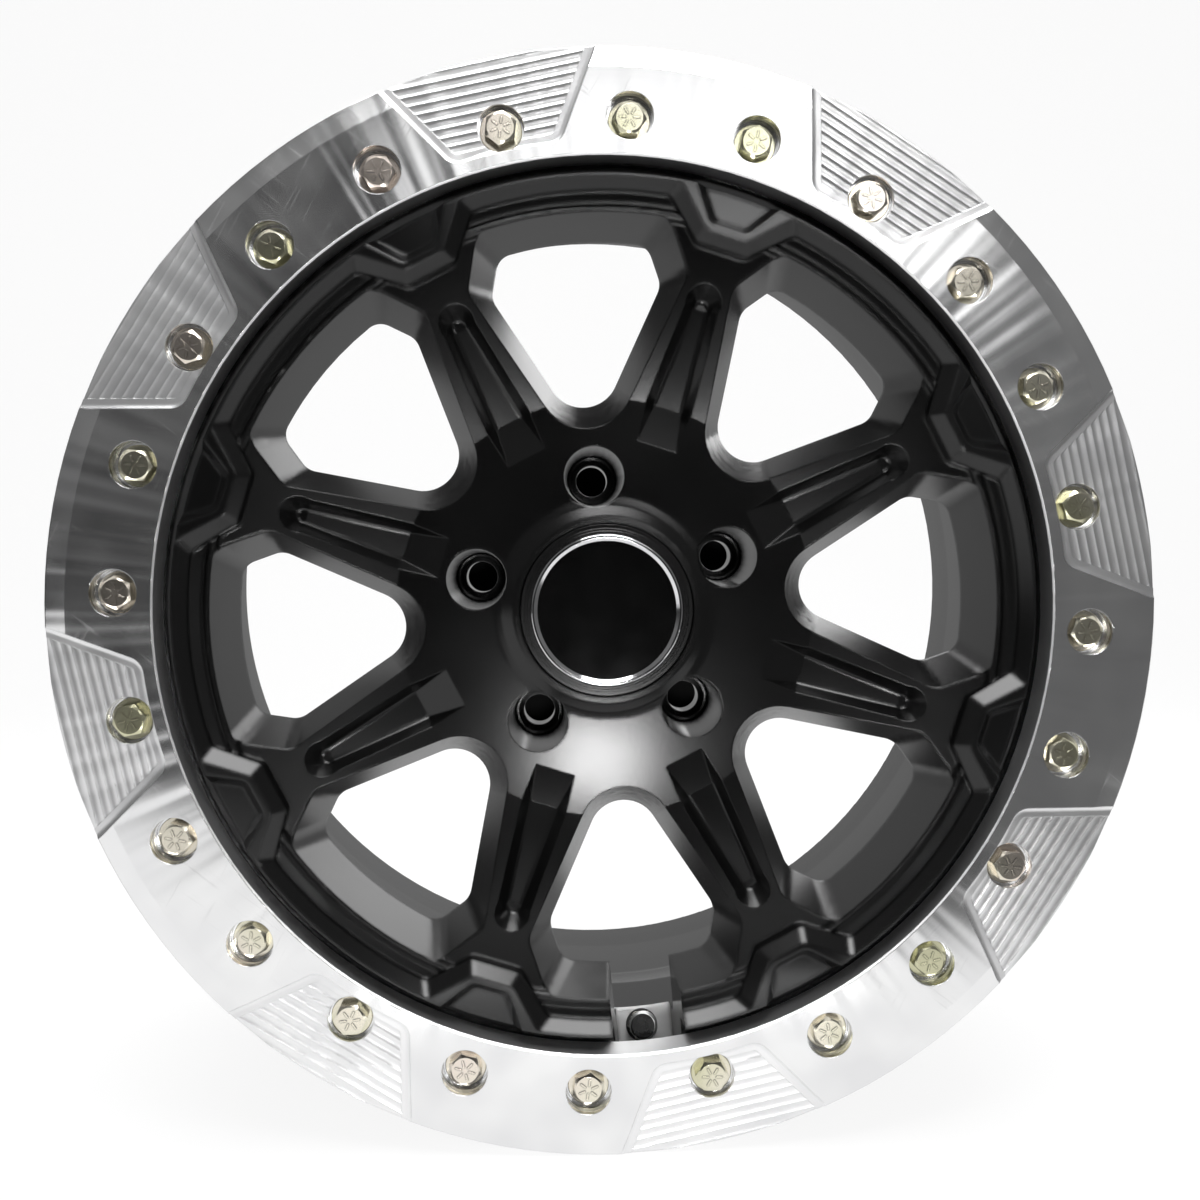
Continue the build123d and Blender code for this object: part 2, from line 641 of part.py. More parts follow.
def beadlock_ring():
    """The machined clamp ring with counterbored bolt holes and eight pockets."""
    rim = RING_R - RING_BEVEL_W
    body = turned([
        (RING_BORE_R, RING_T),
        (RING_BORE_R, RING_EDGE),
        (RING_BORE_R + RING_EDGE, 0),
        (rim, 0),
        (RING_R - 0.6, RING_BEVEL_DROP),
        (RING_R, RING_BEVEL_DROP + 0.6),
        (RING_R, RING_T - 1.0),
        (RING_R - 1.0, RING_T),
    ])
    well, scallops = ring_pocket()
    first = PITCH / 2 + POCKET_SHIFT * 360 / BOLT_COUNT
    body = body - around(well, SECTORS, first)
    body = body - around(scallops, SECTORS, first)
    bore = Pos(0, BOLT_CIRCLE_R, level(COUNTERBORE_DEPTH)) * Cylinder(
        COUNTERBORE_R, COUNTERBORE_DEPTH + 1.0, align=(Align.CENTER, Align.CENTER, Align.MIN)
    )
    hole = Pos(0, BOLT_CIRCLE_R, level(RING_T / 2)) * Cylinder(BOLT_R + BOLT_HOLE_CLEAR, RING_T + 2.0)
    body = body - around(bore, BOLT_COUNT, bolt_angle(0))
    body = body - around(hole, BOLT_COUNT, bolt_angle(0))
    return body


# Ring fasteners
def ring_bolt():
    """One hex bolt, head up at the seat level, with six radial grade marks."""
    corner_r = BOLT_HEX / sqrt(3)
    head = extrude(RegularPolygon(corner_r, 6), amount=BOLT_HEAD_H)
    crown = Cone(
        BOLT_CROWN_R + BOLT_HEAD_H / tan(radians(BOLT_CROWN_ANGLE)), BOLT_CROWN_R, BOLT_HEAD_H,
        align=(Align.CENTER, Align.CENTER, Align.MIN),
    )
    head = head & crown
    shank = Cylinder(BOLT_R, BOLT_LENGTH, align=(Align.CENTER, Align.CENTER, Align.MAX))
    shank = chamfer(shank.edges().sort_by(Axis.Z)[0], 1.0)
    mark = Pos(0, MARK_START + MARK_LENGTH / 2, BOLT_HEAD_H) * Box(
        MARK_WIDTH, MARK_LENGTH, 2 * MARK_HEIGHT
    )
    return head + shank + around(mark, 6, 30.0)


def ring_bolts():
    """All ring bolts, each turned to its own final angle."""
    seat = COUNTERBORE_DEPTH - WASHER_T
    bolt = ring_bolt()
    placed = []
    for i in range(BOLT_COUNT):
        turn = (i * 37) % 60
        placed.append(Rot(0, 0, -bolt_angle(i)) * Pos(0, BOLT_CIRCLE_R, level(seat)) * Rot(0, 0, turn) * bolt)
    return placed


def ring_washers():
    """All ring washers, flat on the counterbore floors."""
    low = Cylinder(WASHER_R, WASHER_T, align=(Align.CENTER, Align.CENTER, Align.MIN))
    low = chamfer(low.edges().sort_by(Axis.Z)[-1], 0.3)
    washer = low - Cylinder(BOLT_R + BOLT_HOLE_CLEAR, 3 * WASHER_T)
    washer = Pos(0, BOLT_CIRCLE_R, level(COUNTERBORE_DEPTH)) * washer
    return around(washer, BOLT_COUNT, bolt_angle(0))


# Centre cap
def cap_body():
    """Cap shell: stepped rim, seat for trim and face, and a skirt split into spring legs."""
    inner = CAP_SKIRT_R - CAP_SKIRT_T
    plate = CAP_TOP_D + CAP_PLATE_T
    shell = turned([
        (0, plate),
        (0, CAP_TOP_D + FACE_SINK + FACE_T),
        (TRIM_IN_R, CAP_TOP_D + FACE_SINK + FACE_T),
        (TRIM_IN_R, CAP_TOP_D + TRIM_SINK),
        (TRIM_R, CAP_TOP_D + TRIM_SINK),
        (TRIM_R, CAP_TOP_D),
        (CAP_STEP_R - 1.2, CAP_TOP_D, 0.3),
        (CAP_STEP_R - 1.2, CAP_TOP_D + CAP_STEP, 0.2),
        (CAP_STEP_R, CAP_TOP_D + CAP_STEP, 0.3),
        (CAP_STEP_R, CAP_TOP_D + 2 * CAP_STEP, 0.2),
        (CAP_R, CAP_TOP_D + 2 * CAP_STEP, 0.5),
        (CAP_R, CAP_SEAT_D),
        (CAP_SKIRT_R, CAP_SEAT_D),
        (CAP_SKIRT_R, CAP_SKIRT_END_D - 3.0),
        (CAP_SKIRT_R - 1.2, CAP_SKIRT_END_D),
        (inner - 1.0, CAP_SKIRT_END_D),
        (inner - 1.0, CLIP_D + CLIP_WIRE_R),
        (inner, CLIP_D + CLIP_WIRE_R),
        (inner, plate),
    ])
    slot = Pos(0, CAP_SKIRT_R, level(CAP_SEAT_D + 2.0)) * Box(
        CAP_SLOT, 4 * CAP_SKIRT_T, 30.0, align=(Align.CENTER, Align.CENTER, Align.MAX)
    )
    return shell - around(slot, CAP_LEGS)


def cap_trim_ring():
    """Bright trim ring round the cap's face, its top rounded off."""
    return turned([
        (TRIM_IN_R + 0.02, CAP_TOP_D + TRIM_SINK),
        (TRIM_IN_R + 0.02, CAP_TOP_D - 0.1, 0.3),
        (TRIM_IN_R + 1.5, CAP_TOP_D - TRIM_RISE, 0.6),
        (TRIM_R - 0.6, CAP_TOP_D - TRIM_RISE, 0.8),
        (TRIM_R - 0.02, CAP_TOP_D, 0.2),
        (TRIM_R - 0.02, CAP_TOP_D + TRIM_SINK),
    ])


def cap_face():
    """Plain gloss disc inside the trim ring."""
    top = CAP_TOP_D + FACE_SINK
    return turned([(0, top + FACE_T), (0, top), (TRIM_IN_R - 0.02, top), (TRIM_IN_R - 0.02, top + FACE_T)])


def cap_clip():
    """Open ring of spring wire that pushes the cap's legs outward."""
    radius = CAP_SKIRT_R - CAP_SKIRT_T - CLIP_WIRE_R
    wire = Pos(radius, 0, level(CLIP_D)) * Rot(90, 0, 0) * Circle(CLIP_WIRE_R)
    return Rot(0, 0, 90 + CLIP_GAP / 2) * revolve(wire, axis=Axis.Z, revolution_arc=360 - CLIP_GAP)


# Valve
def valve_turned(points):
    """Solid turned about the valve's axis from (radius, height) corners, placed in the notch."""
    face = Face(Wire.make_polygon([Vector(r, 0, h) for r, h in points]))
    return VALVE_FRAME * revolve(face, axis=Axis.Z)


def valve_stem():
    """Metal stem: inside flange, threaded body, thinner tip, stepped air passage."""
    seat = -VALVE_WALL - GROMMET_T
    return valve_turned([
        (PLUG_R + 0.2, seat - STEM_FLANGE_T),
        (STEM_FLANGE_R, seat - STEM_FLANGE_T),
        (STEM_FLANGE_R, seat),
        (STEM_R, seat),
        (STEM_R, STEM_SHOULDER - 0.6),
        (STEM_R - 0.6, STEM_SHOULDER),
        (STEM_TIP_R, STEM_SHOULDER),
        (STEM_TIP_R, STEM_TOP - 0.5),
        (STEM_TIP_R - 0.5, STEM_TOP),
        (CORE_R + VALVE_GAP, STEM_TOP),
        (CORE_R + VALVE_GAP, PASSAGE_FOOT),
        (PLUG_R + 0.2, PASSAGE_FOOT),
    ])


def valve_grommet():
    """Rubber seal between the stem's flange and the wheel."""
    seat = -VALVE_WALL
    return valve_turned([
        (STEM_R + 0.02, seat - GROMMET_T),
        (GROMMET_R, seat - GROMMET_T),
        (GROMMET_R, seat),
        (VALVE_HOLE_R - 0.02, seat),
        (VALVE_HOLE_R - 0.02, seat + GROMMET_SPIGOT),
        (STEM_R + 0.02, seat + GROMMET_SPIGOT),
    ])


def valve_washer():
    """Black washer on the notch's flat floor."""
    return valve_turned([
        (STEM_R + 0.1, 0),
        (VALVE_WASHER_R, 0),
        (VALVE_WASHER_R, VALVE_WASHER_T - 0.3),
        (VALVE_WASHER_R - 0.3, VALVE_WASHER_T),
        (STEM_R + 0.1, VALVE_WASHER_T),
    ])


def valve_nut():
    """Hex nut that clamps the stem."""
    body = extrude(RegularPolygon(VALVE_NUT_HEX / sqrt(3), 6), amount=VALVE_NUT_T)
    body = body - Cylinder(STEM_R + 0.03, 4 * VALVE_NUT_T)
    return VALVE_FRAME * Pos(0, 0, VALVE_WASHER_T) * body


def valve_cap():
    """Screw cap with a bevelled end and grip grooves."""
    body = Face(Wire.make_polygon([
        Vector(0, 0, VALVE_CAP_TOP),
        Vector(VALVE_CAP_R - VALVE_CAP_BEVEL, 0, VALVE_CAP_TOP),
        Vector(VALVE_CAP_R, 0, VALVE_CAP_TOP - VALVE_CAP_BEVEL),
        Vector(VALVE_CAP_R, 0, VALVE_CAP_FOOT),
        Vector(STEM_TIP_R + VALVE_GAP, 0, VALVE_CAP_FOOT),
        Vector(STEM_TIP_R + VALVE_GAP, 0, STEM_TOP + CAP_SEAL_T),
        Vector(0, 0, STEM_TOP + CAP_SEAL_T),
    ]))
    body = revolve(body, axis=Axis.Z)
    tall = VALVE_CAP_TOP - VALVE_CAP_FOOT - 4.0
    flute = Pos(0, VALVE_CAP_R + 0.35, VALVE_CAP_FOOT) * Cylinder(
        0.7, 2 * tall, align=(Align.CENTER, Align.CENTER, Align.CENTER)
    )
    return VALVE_FRAME * (body - around(flute, VALVE_CAP_RIBS))


def valve_cap_seal():
    """Rubber disc in the cap that closes the stem's tip."""
    return valve_turned([
        (PIN_HEAD_R + 0.4, STEM_TOP),
        (STEM_TIP_R, STEM_TOP),
        (STEM_TIP_R, STEM_TOP + CAP_SEAL_T),
        (PIN_HEAD_R + 0.4, STEM_TOP + CAP_SEAL_T),
    ])


def valve_core():
    """Core barrel screwed into the stem, bored for the pin."""
    return valve_turned([
        (PIN_R + CORE_FIT, CORE_FOOT),
        (CORE_R - 0.5, CORE_FOOT),
        (CORE_R - 0.5, CORE_FOOT + 3.0),
        (CORE_R - 0.3, CORE_FOOT + 3.0),
        (CORE_R - 0.3, CORE_FOOT + 6.0),
        (CORE_R, CORE_FOOT + 6.0),
        (CORE_R, CORE_TOP),
        (PIN_R + CORE_FIT, CORE_TOP),
    ])


def valve_core_seal():
    """Sealing sleeve round the core barrel."""
    return valve_turned([
        (CORE_R - 0.3, CORE_FOOT + 3.1),
        (CORE_R + VALVE_GAP, CORE_FOOT + 3.1),
        (CORE_R + VALVE_GAP, CORE_FOOT + 5.9),
        (CORE_R - 0.3, CORE_FOOT + 5.9),
    ])


def valve_pin():
    """Pin of the valve core with its head and the plug that closes the core."""
    return valve_turned([
        (0, CORE_FOOT - PLUG_T),
        (PLUG_R, CORE_FOOT - PLUG_T),
        (PLUG_R, CORE_FOOT),
        (PIN_R, CORE_FOOT),
        (PIN_R, PIN_TOP - PIN_HEAD_T),
        (PIN_HEAD_R, PIN_TOP - PIN_HEAD_T),
        (PIN_HEAD_R, PIN_TOP),
        (0, PIN_TOP),
    ])


def valve_spring():
    """Spring that pushes the pin outward, between the core barrel and the pin's head."""
    low = CORE_TOP + SPRING_WIRE_R
    high = PIN_TOP - PIN_HEAD_T - SPRING_WIRE_R
    radius = PIN_R + CORE_FIT + SPRING_WIRE_R + 0.05
    path = Pos(0, 0, low) * Helix((high - low) / SPRING_TURNS, high - low, radius)
    profile = Plane(path @ 0, z_dir=path % 0) * Circle(SPRING_WIRE_R)
    return VALVE_FRAME * sweep(profile, path=path)


def save(name, shape):
    """Turn a piece from the drawing's axes to the wheel's and write its file."""
    bodies = shape if isinstance(shape, list) else [shape]
    solids = []
    for body in bodies:
        solids.extend((Rot(90, 0, 0) * Rot(0, 0, CLOCK) * body).solids())
    whole = solids[0] if len(solids) == 1 else Compound(children=solids)
    export_step(whole, f"parts/{name}.step")


save("wheel_casting", wheel_casting())
save("beadlock_ring", beadlock_ring())
save("ring_bolts", ring_bolts())
save("ring_washers", ring_washers())
save("cap_body", cap_body())
save("cap_trim_ring", cap_trim_ring())
save("cap_face", cap_face())
save("cap_clip", cap_clip())
save("valve_stem", valve_stem())
save("valve_grommet", valve_grommet())
save("valve_washer", valve_washer())
save("valve_nut", valve_nut())
save("valve_cap", valve_cap())
save("valve_cap_seal", valve_cap_seal())
save("valve_core", valve_core())
save("valve_core_seal", valve_core_seal())
save("valve_pin", valve_pin())
save("valve_spring", valve_spring())
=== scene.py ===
import logging
import math
from dataclasses import dataclass
from enum import Enum
from typing import Any, Optional

import bmesh
import bpy
from mathutils import Matrix, Vector


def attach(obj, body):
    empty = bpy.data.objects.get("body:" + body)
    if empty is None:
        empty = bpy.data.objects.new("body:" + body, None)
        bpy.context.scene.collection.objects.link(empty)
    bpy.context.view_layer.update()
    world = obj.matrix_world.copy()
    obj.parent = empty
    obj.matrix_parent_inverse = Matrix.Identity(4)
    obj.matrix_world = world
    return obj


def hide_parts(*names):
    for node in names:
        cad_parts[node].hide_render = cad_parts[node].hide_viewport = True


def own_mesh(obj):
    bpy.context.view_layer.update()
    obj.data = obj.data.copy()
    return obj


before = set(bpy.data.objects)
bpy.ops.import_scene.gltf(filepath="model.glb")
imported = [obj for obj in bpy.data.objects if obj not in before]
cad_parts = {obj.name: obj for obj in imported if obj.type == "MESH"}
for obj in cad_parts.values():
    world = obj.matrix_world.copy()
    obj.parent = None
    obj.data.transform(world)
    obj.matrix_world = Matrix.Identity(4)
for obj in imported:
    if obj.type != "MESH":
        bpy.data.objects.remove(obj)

logging.basicConfig(level=logging.INFO, format="%(message)s")
LOG = logging.getLogger("wheel")

MM = 0.001
WHEEL_BODY = "wheel"
# Blender's noise mostly keeps within the first range and hardly leaves the second.
NOISE_MOST = (0.3, 0.7)
NOISE_ALL = (0.25, 0.75)
EDGE_SAMPLES = 3
# Samples of the ambient occlusion that paints shade into the bolts' corners.
CORNER_SHADE_SAMPLES = 4

Colour = tuple[float, float, float, float]
Point = tuple[float, float, float]
Span = tuple[float, float]
Tree = bpy.types.NodeTree
Node = bpy.types.Node
Socket = bpy.types.NodeSocket


def to_linear(code: str) -> Colour:
    """Turn an sRGB hex colour into linear light.

    Args:
        code: Six hex digits with a leading hash.

    Returns:
        Red, green, blue and an alpha of one.
    """
    parts = [int(code[i:i + 2], 16) / 255 for i in (1, 3, 5)]
    light = [p / 12.92 if p <= 0.04045 else ((p + 0.055) / 1.055) ** 2.4 for p in parts]
    return light[0], light[1], light[2], 1.0


def add_node(
    tree: Tree,
    kind: str,
    settings: Optional[dict[Any, Any]] = None,
    links: Optional[dict[Any, Socket]] = None,
) -> Node:
    """Add a node with its settings and links.

    Args:
        tree: The node tree that takes the node.
        kind: Blender's name for the kind of node.
        settings: Values by input name, input number or property name.
        links: Output sockets by the input name or number that they feed.

    Returns:
        The new node.
    """
    node = tree.nodes.new(kind)
    for key, value in (settings or {}).items():
        if isinstance(key, str) and key not in node.inputs:
            setattr(node, key, value)
    for key, value in (settings or {}).items():
        if not isinstance(key, str) or key in node.inputs:
            node.inputs[key].default_value = value
    for key, socket in (links or {}).items():
        tree.links.new(socket, node.inputs[key])
    return node


def axis_radius(tree: Tree, place: Socket) -> Socket:
    """Measure how far a place lies from the wheel's axis.

    Args:
        tree: The nodes that use it.
        place: Place on the object in metres.

    Returns:
        The distance in metres.
    """
    flat = add_node(
        tree, "ShaderNodeVectorMath", {"operation": "MULTIPLY", 1: (1.0, 0.0, 1.0)}, {0: place}
    )
    away = add_node(tree, "ShaderNodeVectorMath", {"operation": "LENGTH"}, {0: flat.outputs[0]})
    return away.outputs["Value"]


def lean_forward(tree: Tree, normal: Socket, share: Socket) -> Socket:
    """Lean a normal towards the wheel's front.

    Args:
        tree: The nodes that use it.
        normal: The normal to lean.
        share: How far it leans, where one is straight to the front.

    Returns:
        The leant normal.
    """
    leant = add_node(
        tree, "ShaderNodeMix", {"data_type": "VECTOR", 5: (0.0, -1.0, 0.0)}, {0: share, 4: normal}
    )
    return add_node(
        tree, "ShaderNodeVectorMath", {"operation": "NORMALIZE"}, {0: leant.outputs[1]}
    ).outputs[0]


def lay_over(tree: Tree, shader: Node, mask: Socket, colour: str, roughness: float) -> None:
    """Show metal in place of a surface's own finish: bare metal, or metal as a painted highlight.

    Args:
        tree: The material's nodes.
        shader: The material's shader, with its colour and roughness linked.
        mask: One where the metal is bare, zero elsewhere.
        colour: The metal's colour.
        roughness: The metal's roughness.
    """
    own = shader.inputs["Base Color"].links[0].from_socket
    mixed = add_node(
        tree, "ShaderNodeMix", {"data_type": "RGBA", 7: to_linear(colour)}, {0: mask, 6: own}
    )
    tree.links.new(mixed.outputs[2], shader.inputs["Base Color"])
    own_rough = shader.inputs["Roughness"].links[0].from_socket
    rough = add_node(tree, "ShaderNodeMapRange", {4: roughness}, {0: mask, 3: own_rough})
    tree.links.new(rough.outputs[0], shader.inputs["Roughness"])
    tree.links.new(mask, shader.inputs["Metallic"])


class Grain(Enum):
    """How a plain surface was made, which sets its fine texture."""

    MOULDED = "moulded"
    DRAWN = "drawn"
    PLATED = "plated"


@dataclass(frozen=True)
class Finish:
    """What every finish shares.

    Attributes:
        name: The material's common name.
        dark: Darker of the surface's two colours.
        light: Lighter of the two.
        roughness: Middle of its roughness.
        spread: How far roughness wanders either side.
        patch_mm: Size of the patches in which colour and roughness wander.
        metallic: One for a metal, zero otherwise.
        edge_mm: Radius that the eye sees on sharp edges.
        patch_detail: How much finer unevenness the patches hold.
    """

    name: str
    dark: str
    light: str
    roughness: float
    spread: float = 0.04
    patch_mm: float = 30.0
    metallic: float = 0.0
    edge_mm: float = 0.3
    patch_detail: float = 4.0

    def material(self) -> bpy.types.Material:
        """Make the material.

        Returns:
            The finished material.
        """
        made = bpy.data.materials.new(self.name)
        made.use_nodes = True
        tree = made.node_tree
        shader = tree.nodes["Principled BSDF"]
        shader.inputs["Metallic"].default_value = self.metallic
        place = add_node(tree, "ShaderNodeTexCoord").outputs["Object"]
        self.surface(tree, shader, place)
        return made

    def surface(self, tree: Tree, shader: Node, place: Socket) -> None:
        """Colour and roughness that wander over the surface, and softened edges.

        Args:
            tree: The material's nodes.
            shader: The material's shader.
            place: Place on the object in metres.
        """
        patches = add_node(
            tree, "ShaderNodeTexNoise", {"Scale": 1 / (self.patch_mm * MM), "Detail": self.patch_detail},
            {"Vector": place},
        ).outputs["Fac"]
        ramp = add_node(tree, "ShaderNodeValToRGB", links={"Fac": patches})
        ramp.color_ramp.elements[0].position = NOISE_MOST[0]
        ramp.color_ramp.elements[0].color = to_linear(self.dark)
        ramp.color_ramp.elements[1].position = NOISE_MOST[1]
        ramp.color_ramp.elements[1].color = to_linear(self.light)
        tree.links.new(ramp.outputs["Color"], shader.inputs["Base Color"])
        rough = add_node(
            tree, "ShaderNodeMapRange",
            {
                1: NOISE_ALL[0], 2: NOISE_ALL[1],
                3: self.roughness - self.spread, 4: self.roughness + self.spread,
            },
            {0: patches},
        )
        tree.links.new(rough.outputs[0], shader.inputs["Roughness"])
        self.relief(tree, shader, place, self.edges(tree, place))

    def edges(self, tree: Tree, place: Socket) -> Socket:
        """Soften sharp edges.

        Args:
            tree: The material's nodes.
            place: Place on the object in metres.

        Returns:
            Normal with the edges softened.
        """
        return add_node(
            tree, "ShaderNodeBevel", {"samples": EDGE_SAMPLES, "Radius": self.edge_mm * MM}
        ).outputs["Normal"]

    def relief(self, tree: Tree, shader: Node, place: Socket, edge: Socket) -> None:
        """Fine relief of the surface; a plain finish has none beyond its edges.

        Args:
            tree: The material's nodes.
            shader: The material's shader.
            place: Place on the object in metres.
            edge: Normal with the edges softened.
        """
        tree.links.new(edge, shader.inputs["Normal"])


@dataclass(frozen=True)
class SatinPowderCoat(Finish):
    """Satin black powder coat baked on cast aluminium.

    It gives the eye a deep black with soft, wide reflections, a slight orange peel and round, bright edges.
    """

    peel_mm: float = 2.2
    peel_depth_mm: float = 0.010
    # The boss round the cap and the moulding at the rim are rounder than the spokes.
    boss_r_mm: float = 52.0
    boss_edge_mm: float = 2.5
    rim_r_mm: float = 150.0
    rim_edge_mm: float = 2.4
    # The boss rolls over softly: its slope is shaded this much nearer to the face than it lies.
    boss_lean: float = 0.60
    boss_top_r_mm: float = 41.0
    hub_y_mm: float = -83.0
    # The flat under the valve was machined after coating.
    flat_at_mm: Point = (17.3, -65.4, -200.2)
    flat_towards: Point = (-0.030, -0.927, 0.374)
    flat_r_mm: float = 17.0
    flat_colour: str = "#c9c9c9"
    flat_roughness: float = 0.5
    flat_fade_mm: float = 0.5
    # Faces within the first distance of the flat's plane are bare, and those past the second are coated.
    flat_near_mm: Span = (0.5, 0.7)
    # Widths over which one zone passes into the next.
    fade_mm: float = 1.0
    rim_fade_mm: float = 3.0
    boss_foot_mm: float = 4.0

    def surface(self, tree: Tree, shader: Node, place: Socket) -> None:
        """Coat everywhere but on the valve's flat.

        Args:
            tree: The material's nodes.
            shader: The material's shader.
            place: Place on the object in metres.
        """
        super().surface(tree, shader, place)
        middle = tuple(c * MM for c in self.flat_at_mm)
        away = add_node(
            tree, "ShaderNodeVectorMath", {"operation": "SUBTRACT", 1: middle}, {0: place}
        ).outputs[0]
        above = add_node(
            tree, "ShaderNodeVectorMath", {"operation": "DOT_PRODUCT", 1: self.flat_towards}, {0: away}
        )
        off = add_node(tree, "ShaderNodeMath", {"operation": "ABSOLUTE"}, {0: above.outputs["Value"]})
        near, far = self.flat_near_mm
        level = add_node(
            tree, "ShaderNodeMapRange", {1: near * MM, 2: far * MM, 3: 1.0, 4: 0.0}, {0: off.outputs[0]}
        )
        reach = add_node(tree, "ShaderNodeVectorMath", {"operation": "LENGTH"}, {0: away})
        bare = add_node(
            tree, "ShaderNodeMapRange",
            {1: self.flat_r_mm * MM, 2: (self.flat_r_mm + self.flat_fade_mm) * MM, 4: 0.0},
            {0: reach.outputs["Value"], 3: level.outputs[0]},
        )
        lay_over(tree, shader, bare.outputs[0], self.flat_colour, self.flat_roughness)

    def edges(self, tree: Tree, place: Socket) -> Socket:
        """Soften sharp edges, most of all at the boss and the rim.

        Args:
            tree: The material's nodes.
            place: Place on the object in metres.

        Returns:
            Normal with the edges softened.
        """
        radius = axis_radius(tree, place)
        spokes = add_node(
            tree, "ShaderNodeMapRange",
            {
                1: (self.boss_r_mm - self.fade_mm) * MM, 2: (self.boss_r_mm + self.fade_mm) * MM,
                3: self.boss_edge_mm * MM, 4: self.edge_mm * MM,
            },
            {0: radius},
        )
        whole = add_node(
            tree, "ShaderNodeMapRange",
            {
                1: (self.rim_r_mm - self.rim_fade_mm) * MM, 2: (self.rim_r_mm + self.rim_fade_mm) * MM,
                4: self.rim_edge_mm * MM,
            },
            {0: radius, 3: spokes.outputs[0]},
        )
        soft = add_node(tree, "ShaderNodeBevel", {"samples": EDGE_SAMPLES}, {"Radius": whole.outputs[0]})
        depth = add_node(tree, "ShaderNodeSeparateXYZ", links={"Vector": place}).outputs["Y"]
        front = add_node(
            tree, "ShaderNodeMapRange",
            {1: self.hub_y_mm * MM, 2: (self.hub_y_mm + self.fade_mm) * MM, 3: self.boss_lean, 4: 0.0},
            {0: depth},
        )
        inside = add_node(
            tree, "ShaderNodeMapRange",
            {1: (self.boss_top_r_mm - self.fade_mm) * MM, 2: self.boss_top_r_mm * MM, 3: 0.0},
            {0: radius, 4: front.outputs[0]},
        )
        slope = add_node(
            tree, "ShaderNodeMapRange",
            {1: (self.boss_r_mm - self.boss_foot_mm) * MM, 2: (self.boss_r_mm - self.fade_mm) * MM, 4: 0.0},
            {0: radius, 3: inside.outputs[0]},
        )
        return lean_forward(tree, soft.outputs["Normal"], slope.outputs[0])

    def relief(self, tree: Tree, shader: Node, place: Socket, edge: Socket) -> None:
        """Orange peel of the baked powder.

        Args:
            tree: The material's nodes.
            shader: The material's shader.
            place: Place on the object in metres.
            edge: Normal with the edges softened.
        """
        peel = add_node(
            tree, "ShaderNodeTexNoise", {"Scale": 1 / (self.peel_mm * MM), "Detail": 2.0}, {"Vector": place}
        )
        bump = add_node(
            tree, "ShaderNodeBump", {"Strength": 1.0, "Distance": self.peel_depth_mm * MM},
            {"Height": peel.outputs["Fac"], "Normal": edge},
        )
        tree.links.new(bump.outputs["Normal"], shader.inputs["Normal"])


